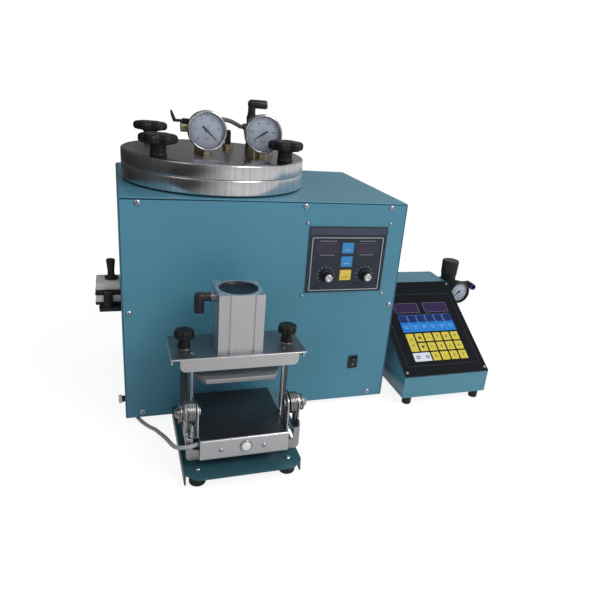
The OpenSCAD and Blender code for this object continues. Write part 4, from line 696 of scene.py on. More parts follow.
# Six soft lobes, 5.6 mm deep, and only outside the stem
star = fluted(0.0056, 0.0125, 0.011, 6, rise=2, narrow=1.3)
for name in ("front_left", "front_right", "back_left", "back_right"):
    low, high = map(np.array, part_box("lid_knob_" + name))
    at = ((low[0] + high[0]) / 2, (low[1] + high[1]) / 2, lid_top)
    place_piece("star_knob_" + name, [lathed(star_profile, 2.2, at, around=120, lobes=star, steps=5)],
                "lid_knob_" + name, star_black, sharp=50,
                instead_of=("lid_knob_" + name,))


# ---------------------------------------------------------------- lid gauges
# Two 54 mm dial gauges: a pressed and polished steel case with a rolled bezel, a
# printed white dial, a black pointer and a clear plastic window.
chrome = metal("polished_steel", (0.68, 0.68, 0.69), 0.12, scale=700.0, depth=0.03, spread=0.05)
pointer_black = moulded("pointer_black", (0.015, 0.015, 0.018), 0.4)


def gauge_case(middle, radius, depth, inner, floor):
    """Profile of a pressed case, turned about the gauge's axis: back, side, step, rolled bezel, then
    inside down to the dial's level and back to the axis. The inside is its own closed rim."""
    h = depth / 2
    return turned(eased([(0, -h), (radius - 0.0045, -h), (radius - 0.0014, -h + 0.0022),
                         (radius - 0.0010, h - 0.0072), (radius, h - 0.0064), (radius, h - 0.0012),
                         (radius - 0.0012, h), (inner, h), (inner - 0.0002, h - 0.0030), (inner, floor),
                         (0, floor)], 0.0009, 5), middle, (0, -1, 0), 96)


def window_glass(name):
    """A clear window: light passes straight through, and the gloss grows towards grazing angles."""
    material, add, where = new_material(name)
    smear = mapped(add, noise(add, where, 120.0, 4.0), 0.02, 0.10)
    open_way = add("BsdfTransparent", Color=(0.93, 0.95, 0.97, 1))
    gloss = add("BsdfAnisotropic", ("Roughness", smear), Color=(1, 1, 1, 1))
    edge = add("Fresnel", IOR=1.38)
    add("OutputMaterial", ("Surface", add("MixShader", (0, edge), (1, open_way), (2, gloss))))
    return material


clear_window = window_glass("gauge_window")
dial_paint = moulded("dial_white", (0.76, 0.77, 0.83), 0.5, spread=0.04, grain=1400.0, bump=0.04, patch=30.0)


def dial_print(name, middle, radius, level, body, numbers):
    """A dial's scale: 41 strokes over 270 degrees, every fourth one long, numbers inside them and an
    arc of 72 short dashes. Stroke n lies at 225 degrees less n times the step, seen from the front."""
    origin = np.asarray(middle) + (0, -level, 0)
    # Each stroke: share of the radius where its middle lies, its length and its width
    long, short, dash = (0.865, 0.13, 0.022), (0.89, 0.075, 0.013), (0.955, 0.014, 0.066)
    strokes = [(turn, long if n % 4 == 0 else short) for n, turn in enumerate(np.linspace(225, -45, 41))]
    strokes += [(turn, dash) for turn in np.linspace(225, -45, 72)]
    rows = [(at * radius * math.cos(turn), at * radius * math.sin(turn), length * radius, width * radius,
             turn, 0.03, 0.03, 0.05, 0.00002)
            for turn, (at, length, width) in ((math.radians(turn), stroke) for turn, stroke in strokes)]
    rows += [(0, -radius * place, radius * length, radius * width, 0, 0.10, 0.10, 0.13, 0.00002)
             for place, length, width in ((0.42, 0.34, 0.028), (0.52, 0.22, 0.020))]
    printed(name + "_strokes", rows, origin, body, corner=0.0001)
    reach, turns = radius * 0.66, np.radians(np.linspace(225, -45, len(numbers)))
    figures(name + "_numbers", [(text, reach * math.cos(turn), reach * math.sin(turn), radius * 0.19, 0)
                                for text, turn in zip(numbers, turns)], origin, pointer_black, body)


for node in ("left_needle", "right_needle"):
    softened(node, node, pointer_black, 0.00015, angle=40)
cases_lo, cases_hi = map(np.array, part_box("gauge_cases"))
gauge_mid_y, gauge_mid_z = (cases_lo[1] + cases_hi[1]) / 2, cases_hi[2] - 0.027
case_rings, windows = [], []
for name, x, numbers in (("left", cases_lo[0] + 0.027, ("0", "2", "4", "6", "8", "10")),
                         ("right", cases_hi[0] - 0.027, ("0", "20", "40", "60", "80", "100"))):
    middle = np.array([x, gauge_mid_y, gauge_mid_z])
    case_rings.append(gauge_case(middle, 0.027, 0.022, 0.0243, 0.0029))
    neck = lathed([(0, -28.2), (5.6, -28.2), (5.6, -26.2), (4.8, -25.5), (4.8, -23.5), (0, -23.5)], 0.3,
                  middle, (0, 0, 1), 32)
    case_rings.append(neck)
    windows.append(lathed([(0, 7.8), (24.2, 7.8), (24.2, 8.6), (12, 9.2), (0, 9.4)], 0.4, middle,
                          (0, -1, 0), 96))
    dial_print(name + "_dial", middle, 0.0243, 0.0040, "lid", numbers)
place_piece("gauge_cases_turned", case_rings, "lid", chrome, sharp=50,
            instead_of=("gauge_cases",))
place_piece("gauge_windows", windows, "lid", clear_window)
softened("gauge_dials", "lid", dial_paint, 0.0002, angle=40)


# ---------------------------------------------------------------- lid fittings
# Nickelled brass hexagons screwed into the lid carry the gauges, the vent valve with its
# black lever, the relief valve and the riser; a braided hose joins riser and vent.
brass = metal("nickelled_brass", (0.50, 0.43, 0.27), 0.30, scale=600.0, depth=0.10, spread=0.18)
softened("lid_metal_fittings", "lid", brass, 0.0005, angle=40)
valve_black = moulded("valve_black", (0.022, 0.021, 0.021), 0.38, grain=900.0, bump=0.10)
softened("lid_valves", "lid", valve_black, 0.0006, angle=40)
softened("vent_lever", "vent_lever", valve_black, 0.0009, steps=3)


def braided(name, dark, light, along):
    """Braid of fine yarn on a tube: two sets of slanting strands, crossing, by the tube's own wrap:
    waves of around + along and of around - along, the higher one on top."""
    material, add, where = new_material(name)
    parts = add("SeparateXYZ", ("Vector", add("UVMap", uv_map="wrap"))).outputs
    waves = []
    for lay in (along, -along):
        run = add("Math", (0, parts["Y"]), (1, lay), operation="MULTIPLY")
        turn = add("Math", (0, parts["X"]), (1, 2 * math.pi * 6), operation="MULTIPLY")
        waves.append(add("Math", (0, add("Math", (0, run), (1, turn), operation="ADD")), operation="SINE"))
    top = add("Math", (0, waves[0]), (1, waves[1]), operation="MAXIMUM")
    surface(add, ramped(add, top, dark, light, 0.1, 0.95), 0.5, top, 0.5, 0.0004)
    return material


riser_x, riser_y = tank_axis[0] + 0.054, tank_axis[1] + 0.002
hose_from = np.array([riser_x - 0.0123, riser_y, lid_top + 0.037])
hose_to = np.array([tank_axis[0] - 0.024 + 0.0073, gauge_mid_y + 0.011 + 0.0135, lid_top + 0.033])
bow = [(0.2, 4.5), (0.37, 9), (0.58, 11.5), (0.74, 9.5), (0.84, 5)]
hose_route = np.array([hose_from - (a * 0.004, 0, 0) for a in (0, 0.5, 1)]
                      + [hose_from + b * (hose_to - hose_from) + (0, 0, rise * mm) for b, rise in bow]
                      + [hose_to + (a * 0.004, 0, 0) for a in (1, 0.5, 0)])
hose_line = flowing(hose_route, 6)
hose = place_piece("lid_hose_braid", [round_tube(hose_line, 0.003, 24)], "lid",
                   braided("hose_braid", (0.022, 0.021, 0.023), (0.16, 0.155, 0.165), 110.0),
                   instead_of=("lid_hose",))


def push_fitting(name, body, base, stem_way, arm_way, stem, arm, ring_colour, node, stem_r=0.0055,
                 elbow_r=0.0062):
    """A push-in elbow in two turned parts: an upright stem to the bend's middle and an arm with a
    bored end, joined by a ball; then the coloured ring that frees the tube, at the arm's end."""
    base, stem_way, arm_way = (np.asarray(v, float) for v in (base, stem_way, arm_way))
    bend = base + stem_way * stem
    a = np.linspace(-math.pi / 2, math.pi / 2, 13)
    ball = turned(np.stack([elbow_r * np.cos(a), elbow_r * np.sin(a)], -1), bend, stem_way, 40)
    upright = turned(eased([(0, 0), (stem_r, 0), (stem_r, stem - 0.004), (elbow_r, stem - 0.002),
                            (elbow_r, stem), (0, stem)], 0.0005), base, stem_way, 40)
    level_arm = turned(eased([(0, 0), (elbow_r, 0), (elbow_r, arm - 0.0022),
                              (elbow_r - 0.0008, arm - 0.0016), (0.0050, arm - 0.0016),
                              (0.0041, arm - 0.006), (0.0041, arm - 0.0135), (0, arm - 0.0135)], 0.0005),
                       bend, arm_way, 40)
    place_piece(name, [upright, ball, level_arm], body, elbow_black, sharp=40,
                instead_of=(node,))
    ring = eased([(0.0041, arm - 0.005), (0.0049, arm - 0.005), (0.0049, arm - 0.0012),
                  (0.0056, arm - 0.0009), (0.0056, arm - 0.0001), (0.0044, arm - 0.0001),
                  (0.0041, arm - 0.0008)], 0.0002, 3, closed=True)
    ring = turned(ring, bend, arm_way, 40)
    ring_skin = moulded(name + "_ring_colour", ring_colour, 0.35, spread=0.06)
    place_piece(name + "_ring", [np.concatenate([ring, ring[:1]])], body, ring_skin)


elbow_black = moulded("elbow_black", (0.020, 0.020, 0.022), 0.34, grain=1400.0, bump=0.08)
push_fitting("lid_elbow_turned", "lid_elbow", (riser_x, riser_y, lid_top + 0.05705),
             (0, 0, 1), (1, 0, 0), 0.013, 0.023, (0.52, 0.52, 0.58), "lid_elbow")


# ---------------------------------------------------------------- nozzle
# A brass injection nozzle with a spring-loaded tip, in a block under the pot.
softened("nozzle_block", "cabinet", brass, 0.0005, angle=40)
softened("nozzle_tip", "nozzle", brass, 0.0004, angle=40)


# ---------------------------------------------------------------- side valves
# Two small valve blocks on the cabinet's left side: bands of nickelled metal between
# black plates, a flared handle on top, a knob in front, and a round nut further down.
def slab(outline, low, high, edge, origin=(0, 0, 0), across=(1, 0, 0), up=(0, 0, 1)):
    """A plate cut to an outline: from the middle of one face out to the eased rim, along the side and
    back in to the middle of the other face. Point = origin + x across + y up + height out."""
    flat = np.asarray(outline, float)
    ahead = np.roll(flat, -1, 0) - np.roll(flat, 1, 0)
    normal = np.stack([ahead[:, 1], -ahead[:, 0]], -1)
    normal /= np.maximum(np.linalg.norm(normal, axis=1, keepdims=True), 1e-12)
    area = 0.5 * np.sum(flat[:, 0] * np.roll(flat[:, 1], -1) - np.roll(flat[:, 0], -1) * flat[:, 1])
    normal *= np.sign(area)
    middle = 0 * flat + flat.mean(0)
    rows = [(middle, low), (flat - normal * edge, low), (flat - normal * edge * 0.3, low + edge * 0.3),
            (flat, low + edge), (flat, high - edge), (flat - normal * edge * 0.3, high - edge * 0.3),
            (flat - normal * edge, high), (middle, high)]
    across, up = np.asarray(across, float), np.asarray(up, float)
    out = np.cross(across, up)
    return np.stack([np.asarray(origin) + p[:, :1] * across + p[:, 1:] * up + h * out for p, h in rows])


def rectangle(x0, y0, x1, y1, reach=0.001, steps=4):
    """Four corners, each eased over the given reach."""
    return eased([(x0, y0), (x1, y0), (x1, y1), (x0, y1)], reach, steps, closed=True)


def block_between(low, high, edge, corner=0.001):
    """A block with eased edges, as a slab that lies flat."""
    return slab(rectangle(low[0], low[1], high[0], high[1], corner), low[2], high[2], edge,
                across=(1, 0, 0), up=(0, 1, 0))


nickel = moulded("satin_silver", (0.62, 0.60, 0.58), 0.34, spread=0.10, grain=700.0, bump=0.10)
valve_plate = moulded("valve_plate_black", (0.026, 0.025, 0.025), 0.36, grain=1100.0, bump=0.10)
side_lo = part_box("side_blocks")[0]
block_x0, block_x1 = side_lo[0], cab_lo[0] - 0.0001
block_y0, block_y1 = face_y + 0.064, face_y + 0.100
block_z = cab_under + 0.150
bands, plates = [], []
for number, (low, high, kind) in enumerate((
        (-5.0, 0.0, "plate"), (0.0, 4.6, "plate"), (4.6, 14.6, "band"), (14.6, 16.5, "plate"),
        (17.0, 22.6, "plate"), (22.6, 33.2, "band"))):
    front = block_y0 - (0.0154 if number == 0 else 0.0)
    inset = 0.0050 if number == 0 else (0.0010 if high > 17 else 0.0) + (0.0006 if kind == "band" else 0.0)
    grid = block_between((block_x0 + inset, front + inset * 0.3, block_z + low * mm),
                         (block_x1, block_y1 - inset * 0.3, block_z + high * mm), 0.0006, 0.0018)
    (bands if kind == "band" else plates).append(grid)
port = lathed([(0, -12), (3.4, -12), (5, -10.5), (5, -5), (0, -5)], 0.5,
              ((side_lo[0] + cab_lo[0]) / 2 - 0.008, block_y0 + 0.010, block_z), around=40)
plates.append(port)
low_nut = np.array([cab_lo[0], face_y + 0.025, cab_under + 0.018])
plates.append(lathed([(0, 0), (4.6, 0), (4.6, 4.6), (3.4, 5), (0, 5)], 0.4, low_nut, (-1, 0, 0), 32))
nut_cap = lathed([(0, 4.2), (6, 4.2), (6, 7.8), (5.2, 8.8), (0, 9)], 0.7, low_nut, (-1, 0, 0), 40,
                 knurled(0.03, 0.0055, 2500, 20))
bands.append(nut_cap)
place_piece("side_valve_bands", bands, "cabinet", nickel, sharp=40,
            instead_of=("side_blocks",))
place_piece("side_valve_plates", plates, "cabinet", valve_plate, sharp=40)
softened("side_handle", "side_handle", valve_black, 0.0007, angle=50)
softened("side_knob", "side_knob", valve_black, 0.0008, angle=40)


# ---------------------------------------------------------------- back of the cabinet
# Air and vacuum fittings and the mains inlet, black mouldings in the back sheet, and the
# boards and transformer that the slots above them cool.
softened("rear_ports", "cabinet", switch_black, 0.0006, angle=40)
board_green = moulded("board_green", (0.02, 0.13, 0.06), 0.35, grain=300.0, bump=0.35, spread=0.25)
softened("electrics", "cabinet", board_green, 0.0006, angle=40)


# ---------------------------------------------------------------- clamp base and slide
# A base plate of the same painted sheet with cut front corners and turned-down sides;
# two ground steel rails and a small feed cylinder stand on it.
# Painted shade: the base plate's paint is the cabinet's teal darkened to about a third
softened("clamp_base", "cabinet", painted("base_paint", (0.022, 0.074, 0.092), rough=0.30), 0.0005,
         wide=((0.0030, lambda m, d: abs(d.z) > 0.99 and m.z > 0.017 and m.y < face_y - 0.150),))
rail_steel = metal("ground_steel", (0.60, 0.60, 0.62), 0.20, stretch=(1, 30, 1), scale=300.0)
softened("slide_rails", "cabinet", rail_steel, 0.0005, angle=40)


# ---------------------------------------------------------------- carriage
# A bent plate of bright aluminium on the rails, with an ear on each side for the tray's
# pivot, two black threaded posts for the bridge, and corner pieces in front.
bright = metal("brushed_bright", (0.56, 0.56, 0.57), 0.27, stretch=(0.6, 30, 30), scale=90.0, depth=0.10,
               spread=0.12)
softened("carriage", "carriage", bright, 0.0005, angle=40, wide=(
    (0.0060, lambda m, d: abs(d.y) > 0.99 and abs(m.z - 0.033) < 2e-4 and abs(m.x - clamp_x) > 0.0715),
    (0.0045, lambda m, d: abs(d.y) > 0.99 and abs(m.z - 0.064) < 2e-4 and abs(m.x - clamp_x) > 0.0715)))
softened("guide_rods", "bridge", rail_steel, 0.0003, angle=40)


def threaded(middle, radius, low, high, pitch, way=(0, 0, 1)):
    """A threaded rod: radius falls and rises once for each pitch along the height."""
    turns = int((high - low) / pitch)
    h = np.linspace(low, high, turns * 6 + 1)
    r = radius - 0.0004 * (0.5 + 0.5 * np.cos(2 * math.pi * (h - low) / pitch))
    profile = np.stack([np.r_[0, r, 0], np.r_[low, h, high]], -1)
    return turned(profile, middle, way, 28)


pivot_y, pivot_z = face_y - 0.130, 0.091
post_out, post_y = 0.067, face_y - 0.078
post_black = metal("blackened_steel", (0.10, 0.10, 0.11), 0.35, scale=500.0, spread=0.2)
posts = [threaded((clamp_x + side * post_out, post_y, 0), 0.0045, 0.0542, 0.1519, 0.0016) for side in (-1, 1)]
place_piece("bridge_posts", posts, "carriage", post_black, sharp=50,
            instead_of=("carriage_pins",))
pins = []
for side in (-1, 1):
    at, way = (clamp_x, pivot_y, pivot_z), (side, 0, 0)
    pins.append(lathed([(0, 53), (5.8, 53), (5.8, 55.2), (4, 55.6), (4, 70.2), (3.9, 70.2), (0, 70.2)], 0.4,
                       at, way, 40))
    pins.append(lathed([(0, 72.1), (10, 72.1), (10, 73.5), (5.5, 73.7), (5.5, 78), (8.2, 78.2), (5, 82.8),
                        (3, 83.6), (0, 83.6)], 0.5, at, way, 48))
place_piece("pivot_pins", pins, "carriage", bright, sharp=35)


# ---------------------------------------------------------------- torsion springs
# Each pivot carries a wound spring of 2.4 mm wire: four turns between the ears and a
# leg down to the carriage, then a turn outside the ear with its own leg.
spring_steel = metal("spring_wire", (0.42, 0.41, 0.41), 0.25, scale=900.0, spread=0.15)
coils = []
for side in (-1, 1):
    turn = np.linspace(0, 1, 150)
    a = math.pi * (0.5 + 8.3 * turn)
    wound = np.stack([clamp_x + side * (0.0605 + 0.0085 * turn), pivot_y + 0.0128 * np.cos(a),
                      pivot_z + 0.0128 * np.sin(a)], -1)
    leg = np.array([wound[0] + (0, 0.006, -0.0008), wound[0] + (side * -0.0004, 0.016, -0.004)])
    foot_leg = wound[-1] + np.array([(0, 0.001, -0.008), (0, 0.002, -0.022), (0, 0.003, -0.032)])
    foot_leg[:, 0] = clamp_x + side * 0.0685
    coils.append(round_tube(np.concatenate([leg[::-1], wound, foot_leg]), 0.0012, 10))
    turn = np.linspace(0, 1, 60)
    a = math.pi * (1.4 + 2.6 * turn)
    outer = np.stack([clamp_x + side * (0.0752 + 0.0025 * turn), pivot_y + 0.0098 * np.cos(a),
                      pivot_z + 0.0098 * np.sin(a)], -1)
    coils.append(round_tube(np.concatenate([outer, outer[-1:] + (0, -0.001, -0.008),
                                            outer[-1:] + (0, -0.0005, -0.020)]), 0.0012, 10))
place_piece("torsion_coils", coils, "carriage", spring_steel, sharp=50,
            instead_of=("torsion_springs",))


# ---------------------------------------------------------------- tray
# A tray of polished stainless sheet, nearly a mirror, its lip folded down in front over
# the switch of the start button, with two small screws.
def rolled_sheet(name, lit_fold_colour, flat, tilt, hair, smear, shade, rough, relief, metallic):
    """Stainless sheet: hairlines along x in its tone and relief, smears in its gloss, and painted light by
    which way a face looks: the flat top, polished, is painted dark as a painted reflection, and the folds are
    painted bright as a painted highlight."""
    material, add, where = new_material(name)
    lines = add("VectorMath", (0, where), (1, (4, hair[0], hair[0])), operation="MULTIPLY")
    fine = noise(add, lines, hair[1], hair[2])
    # Painted light: faces that look up take the dark top colour, all others the bright fold colour
    painted_shade_top = mapped(add, upward(add, "Normal"), 0, 1, *tilt)
    tone = add("MixRGB", (0, painted_shade_top), Color1=(*lit_fold_colour, 1), Color2=(*flat, 1))
    shaded = add("VectorMath", (0, tone), (1, mapped(add, fine, *shade)), operation="MULTIPLY")
    gloss = mapped(add, noise(add, where, *smear), *rough)
    surface(add, shaded, gloss, fine, relief, 0.0002, Metallic=metallic)
    return material


# The tray's dark top and bright folds are painted reflection and painted highlight
mirror = rolled_sheet("mirror_steel", (0.72, 0.72, 0.74), (0.105, 0.105, 0.112), tilt=(0.70, 0.999),
                      hair=(70, 10.0, 3.0), smear=(26.0, 6.0, 0.6), shade=(0.88, 1.1), rough=(0.16, 0.40),
                      relief=0.02, metallic=0.9)
softened("tray", "tray", mirror, 0.0005, angle=40, sharp=40, wide=(
    (0.0035, lambda m, d: abs(d.x) > 0.99 and abs(m.z - 0.062) < 2e-4 and m.y < face_y - 0.1535),))
lip_y = face_y - 0.154
tray_screws = [lathed([(0, -1), (2.8, -1), (2.8, 0.8), (1.6, 1.7), (0, 1.9)], 0.3,
                      (clamp_x + x, lip_y, 0.047), (0, -1, 0), 32) for x in (-0.030, 0.024)]
place_piece("tray_screws", tray_screws, "tray", zinc)
softened("button_switch", "tray", switch_black, 0.0004, angle=40)
button_white = moulded("button_white", (0.62, 0.62, 0.60), 0.22, spread=0.05, grain=700.0, bump=0.03,
                       coat=0.3)
button_lo, button_hi = map(np.array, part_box("start_button"))
button_at = ((button_lo[0] + button_hi[0]) / 2, button_hi[1], (button_lo[2] + button_hi[2]) / 2)
cap_tall = button_hi[1] - button_lo[1]
cap = turned(eased([(0, 0), (0.0060, 0), (0.0060, cap_tall - 0.0016), (0.0052, cap_tall - 0.0004),
                    (0.0030, cap_tall), (0, cap_tall - 0.0002)], 0.0008, 4), button_at, (0, -1, 0), 48)
place_piece("start_button_cap", [cap], "start_button", button_white,
            instead_of=("start_button",))
rim = lathed([(6.2, -0.2), (8, -0.2), (8, 0.9), (7.4, 1.3), (6.4, 1.1)], 0.3,
             (button_at[0], lip_y, button_at[2]), (0, -1, 0), 48, steps=3, closed=True)
place_piece("button_rim", [rim], "tray", bright)


# ---------------------------------------------------------------- bridge
# A brushed stainless plate with its front folded down and its sides turned under. Two
# black fluted knobs with silver screws hold it on the posts.
# The bridge's darker top and bright folds are painted shade and painted highlight
bridge_metal = rolled_sheet("bridge_stainless", (0.76, 0.755, 0.765), (0.28, 0.285, 0.30), tilt=(0.2, 0.9),
                            hair=(90, 9.0, 4.0), smear=(18.0, 5.0), shade=(0.82, 1.16), rough=(0.28, 0.48),
                            relief=0.08, metallic=0.95)
bridge_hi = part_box("bridge_plate")[1]
softened("bridge_plate", "bridge", bridge_metal, 0.0005, angle=40, sharp=40, wide=(
    (0.0070, lambda m, d: abs(d.y) > 0.99 and abs(m.z - 0.136) < 2e-4 and abs(m.x - clamp_x) > 0.074),
    (0.0022, lambda m, d: abs(d.x) > 0.99 and m.z > bridge_hi[2] - 1e-4 and m.y < face_y - 0.1115)))

knob_profile = [(0, 0.8), (8, 0.8), (8.2, 2), (6.6, 10), (8.2, 12.6), (12.2, 13.8), (12.6, 17.2), (12.4, 22),
                (11.2, 24), (6, 24.6), (4, 24), (0, 24)]
for side, name in ((-1, "left"), (1, "right")):
    at = (clamp_x + side * post_out, post_y, bridge_hi[2])
    head = lathed(knob_profile, 1.2, at, around=112, lobes=fluted(0.0016, 0.0088, 0.003, 8, narrow=2),
                  steps=5)
    place_piece("mushroom_knob_" + name, [head], "height_knob_" + name, star_black,
                sharp=50, instead_of=("height_knob_" + name,))
    screw = threaded(at, 0.003, -0.0138, 0.0008, 0.001)
    washer = lathed([(0, 0), (8.5, 0), (8.5, 0.7), (0, 0.7)], 0.2, at, around=40, steps=3)
    place_piece("knob_screw_" + name, [screw, washer], "height_knob_" + name, bright,
                sharp=45)


# ---------------------------------------------------------------- air cylinder
# A compact cylinder with a square body of drawn and anodised aluminium, two sensor
# grooves down each side, four corner bolts, and a black elbow on the left.
anodised = metal("anodised_body", (0.80, 0.78, 0.80), 0.34, stretch=(26, 26, 0.5), scale=70.0, depth=0.08,
                 spread=0.07)
softened("clamp_cylinder", "bridge", anodised, 0.0007, angle=40)
cyl_lo, cyl_hi = map(np.array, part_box("clamp_cylinder"))
cyl_mid = (cyl_lo + cyl_hi) / 2
cap_dark = metal("cap_black", (0.055, 0.06, 0.07), 0.38, scale=500.0, spread=0.2,
                 about=(cyl_mid[0], cyl_mid[1], 0))
cap_at = (cyl_mid[0], cyl_mid[1], cyl_hi[2])
dark_cap = lathed([(0, -2.9), (10, -2.9), (10.5, -2.6), (21, -2.6), (21.5, -1.2), (23.6, -1), (23.6, -2.9),
                   (24.9, -2.9), (24.9, -3.4), (0, -3.4)], 0.4, cap_at, around=96)
place_piece("cylinder_cap", [dark_cap], "bridge", cap_dark)
bolts = []
for dx, dy in ((-1, -1), (-1, 1), (1, -1), (1, 1)):
    at = (cyl_mid[0] + dx * 0.0235, cyl_mid[1] + dy * 0.0235, cyl_hi[2] - 0.003)
    bolts.append(lathed([(0, 0), (2.7, 0), (2.7, 2.6), (2.3, 3), (1.4, 3), (1.3, 1.2), (0, 1.2)], 0.2, at,
                        around=24, steps=3))
place_piece("cylinder_bolts", bolts, "bridge", zinc)
elbow_z = 0.220
thread = threaded((cyl_mid[0] - 0.0285, cyl_mid[1], elbow_z), 0.0061, 0.0002, 0.0064, 0.0012, (-1, 0, 0))
place_piece("elbow_thread", [thread], "cylinder_elbow", bright)
push_fitting("cylinder_elbow_turned", "cylinder_elbow", (cyl_mid[0] - 0.02855, cyl_mid[1], elbow_z),
             (-1, 0, 0), (0, 0, -1), 0.020, 0.022, (0.10, 0.20, 0.42), "cylinder_elbow")


# ---------------------------------------------------------------- press plate
# A 6 mm aluminium plate with cut front corners, on the cylinder's chromed rod.
plate_grey = metal("press_aluminium", (0.50, 0.495, 0.505), 0.62, stretch=(2, 30, 30), scale=80.0, depth=0.10,
                   spread=0.12)
softened("press_plate", "press", plate_grey, 0.0008, angle=30)


# ---------------------------------------------------------------- console
# A wedge case of the same painted sheet on four rubber feet, with a black keypad panel
# screwed over its sloping face.
softened("controller_case", "cabinet", painted("console_paint", (0.068, 0.200, 0.262)), 0.0006,
         wide=((0.0022, lambda m, d: m.z > 0.014 and abs(d.x) > 0.99),))
case_lo, case_hi = map(np.array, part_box("controller_case"))
case_mid, case_front = (case_lo[0] + case_hi[0]) / 2, case_lo[1]
front_tall, back_tall, slope_run = 0.052, 0.150, 0.171
slope = math.atan2(back_tall - front_tall, slope_run)
up_slope = np.array([0, math.cos(slope), math.sin(slope)])
off_slope = np.array([0, -math.sin(slope), math.cos(slope)])
pad_at = np.array([case_mid, case_front, front_tall + 0.00002]) + off_slope * 0.0020
pitch_x, pitch_y, keys_from, labels_from, windows_at, window_out = 0.0173, 0.0195, 0.026, 0.087, 0.1385, 0.029
key_lift, on_key = 0.00045, 0.00054
yellow, key_white, black_line = (0.56, 0.46, 0.055), (0.60, 0.61, 0.66), (0.010, 0.010, 0.012)
key_print, signs, arrows = [], [], []


def key_at(row, column):
    """Middle of the key in a row counted from the bottom and a column counted from the left."""
    return (column - 2.5) * pitch_x, keys_from + (row + 0.5) * pitch_y


# Rows and columns of the keys, then how many columns and rows each one covers
key_rows = [(0, 0, 2, 1)] + [(0, c, 1, 1) for c in (2, 3, 4, 5)]
key_rows += [(r, c, 1, 1) for r in (1, 2) for c in range(1, 6)] + [(1, 0, 1, 2)]
for row, column, wide, tall in key_rows:
    x, y = (column - 3 + wide / 2) * pitch_x, keys_from + (row + tall / 2) * pitch_y
    for gap, ink, lift in ((0.0014, black_line, key_lift - 0.00006),
                           (0.0028, key_white if wide == 2 else yellow, key_lift)):
        key_print.append((x, y, wide * pitch_x - gap, tall * pitch_y - gap, 0, *ink, lift))
signs += [(digit, *key_at(row, 3 + n), 0.0085, 0) for row, text in ((2, "789"), (1, "456"), (0, "123"))
          for n, digit in enumerate(text)] + [("0", *key_at(0, 2), 0.0085, 0)]
tall_x, tall_y = key_at(1.5, 0)
signs += [(letter, x, y, 0.0062, 0) for letter, x, y in (
    ("A", tall_x, tall_y + 0.006), ("B", tall_x, tall_y - 0.006), ("C", *key_at(2, 2)), ("D", *key_at(1, 2)))]
for column in (0, 1):
    x, y = key_at(0, column)
    key_print += [(x + 0.001, y, 0.0075, 0.0060, 0, 0.22, 0.22, 0.26, key_lift + 0.00009),
                  (x + 0.001, y, 0.0063, 0.0010, 0, *key_white, key_lift + 0.00015)]
# Six dark windows over six bright labels, with thin light lines between them
for column in range(6):
    x = key_at(0, column)[0]
    key_print += [(x, labels_from + y, wide, tall, 0, *ink, lift) for y, wide, tall, ink, lift in (
        (0.0100, pitch_x - 0.0002, 0.0215, (0.012, 0.17, 0.52), key_lift),
        (0.0275, pitch_x - 0.0002, 0.0165, (0.012, 0.055, 0.24), key_lift),
        (0.0275, pitch_x - 0.0050, 0.0125, (0.010, 0.022, 0.10), on_key),
        (0.0115, pitch_x * 0.52, 0.0016, (0.16, 0.42, 0.66), on_key),
        (0.0075, pitch_x * 0.40, 0.0016, (0.13, 0.38, 0.62), on_key))]
key_print += [((n - 2) * pitch_x, labels_from + 0.018, 0.0005, 0.034, 0, 0.22, 0.40, 0.62, key_lift + 0.0002)
              for n in range(5)]
for side in (-1, 1):
    key_print += outline_rows(side * window_out, windows_at, 0.0466, 0.0206, 0.0006, (0.20, 0.19, 0.28),
                              0.00002)
    key_print.append((side * window_out, windows_at, 0.0452, 0.0192, 0, 0.030, 0.016, 0.062, 0.00010))
key_print += outline_rows(0, 0.094, 0.136, 0.150, 0.0006, (0.045, 0.048, 0.058), 0.00002)
key_print.append((0, 0.0995, 0.1545, 0.1975, 0, 0.0036, 0.0052, 0.0078, 0.000005))
printed("keypad_print", key_print, pad_at, "cabinet", up_slope, rough=0.5, gleam=0.12)
ink_black = moulded("keypad_black_ink", (0.02, 0.018, 0.012), 0.5)
figures("keypad_signs", signs, pad_at + off_slope * (key_lift + 0.0001), ink_black, "cabinet",
        up_slope)
for row, sign in ((2, 1), (1, -1)):
    x, y = key_at(row, 1)
    wedge = np.array([(x - 0.0036, y - sign * 0.0026), (x + 0.0036, y - sign * 0.0026),
                      (x, y + sign * 0.0034)])
    if sign < 0:
        wedge = wedge[::-1]
    arrows.append(slab(eased(wedge, 0.0003, 3, closed=True), key_lift + 0.0001, key_lift + 0.0002, 0.00001,
                       pad_at, (1, 0, 0), up_slope))
place_piece("keypad_arrows", arrows, "cabinet", ink_black, sharp=20)
softened("film_keys", "cabinet", moulded("film_key_base", (0.02, 0.02, 0.024), 0.4), 0.0001)
pad_recesses = [bar for i in (-1, 1) for v in (0.008, 0.1911) for bar in cross_recess(
    pad_at + np.array([i * 0.073, 0, 0]) + up_slope * v + off_slope * 0.0020, off_slope, 0.0012)]
place_piece("keypad_screw_recesses", pad_recesses, "cabinet", recess_painted_shadow)


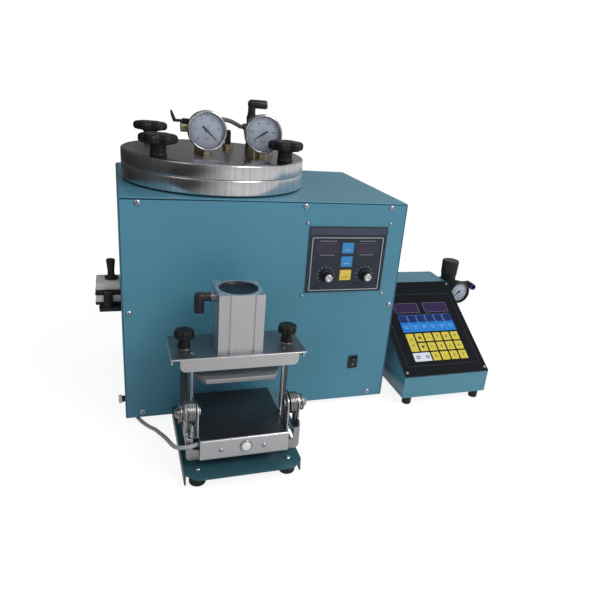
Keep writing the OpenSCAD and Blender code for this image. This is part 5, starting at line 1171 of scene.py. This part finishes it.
# ---------------------------------------------------------------- air regulator
# A black regulator on the console's right side: a tall fluted knob, a dial gauge that
# faces front, and an elbow with a blue ring for the air line.
softened("regulator_body", "cabinet", valve_black, 0.0009, angle=40)
knob_lo, knob_hi = map(np.array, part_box("regulator_knob"))
knob_mid, tall = (knob_lo + knob_hi) / 2, knob_hi[2] - knob_lo[2]
flutes = eased([(0, 0), (0.0144, 0), (0.0144, 0.0072), (0.0152, 0.0086), (0.0160, tall - 0.003),
                (0.0150, tall - 0.0006), (0.0060, tall), (0.0055, tall - 0.0008), (0, tall - 0.0008)],
               0.0012, 5)
dome = turned(flutes, (knob_mid[0], knob_mid[1], knob_lo[2]), around=144,
              lobes=fluted(0.0007, 0.0148, 0.0004, 36))
place_piece("regulator_knob_fluted", [dome], "regulator_knob",
            moulded("regulator_black", (0.026, 0.026, 0.027), 0.34, grain=1200.0, bump=0.1), sharp=40,
            instead_of=("regulator_knob",))
line_lo, line_hi = map(np.array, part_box("line_gauge"))
line_r, line_d = (line_hi[0] - line_lo[0]) / 2, 0.020
line_mid = np.array([(line_lo[0] + line_hi[0]) / 2, line_hi[1] - line_d / 2, (line_lo[2] + line_hi[2]) / 2])
case = gauge_case(line_mid, line_r, line_d, line_r - 0.0027, 0.0041)
place_piece("line_gauge_case", [case], "cabinet", valve_black, sharp=50,
            instead_of=("line_gauge",))
sheet_disc = turned(eased([(0, 0.0038), (line_r - 0.0029, 0.0038), (line_r - 0.0029, 0.0044), (0, 0.0044)],
                          0.0001, 3), line_mid, (0, -1, 0), 64)
place_piece("line_gauge_dial", [sheet_disc], "cabinet", dial_paint)
dial_print("line_dial", line_mid, line_r - 0.0029, 0.0044, "cabinet", ("0", "2", "4", "6", "8", "10"))
softened("line_needle", "line_needle", pointer_black, 0.00012, angle=40)
front_glass = turned(eased([(0, 0.0070), (line_r - 0.0028, 0.0070), (line_r - 0.0028, 0.0078), (0, 0.0084)],
                           0.0003), line_mid, (0, -1, 0), 64)
place_piece("line_gauge_window", [front_glass], "cabinet", clear_window)
push_fitting("regulator_elbow_turned", "regulator_elbow", (knob_mid[0] + 0.01805, knob_mid[1], 0.134),
             (1, 0, 0), (0, -1, 0), 0.02895, 0.022, (0.050, 0.075, 0.30), "regulator_elbow")
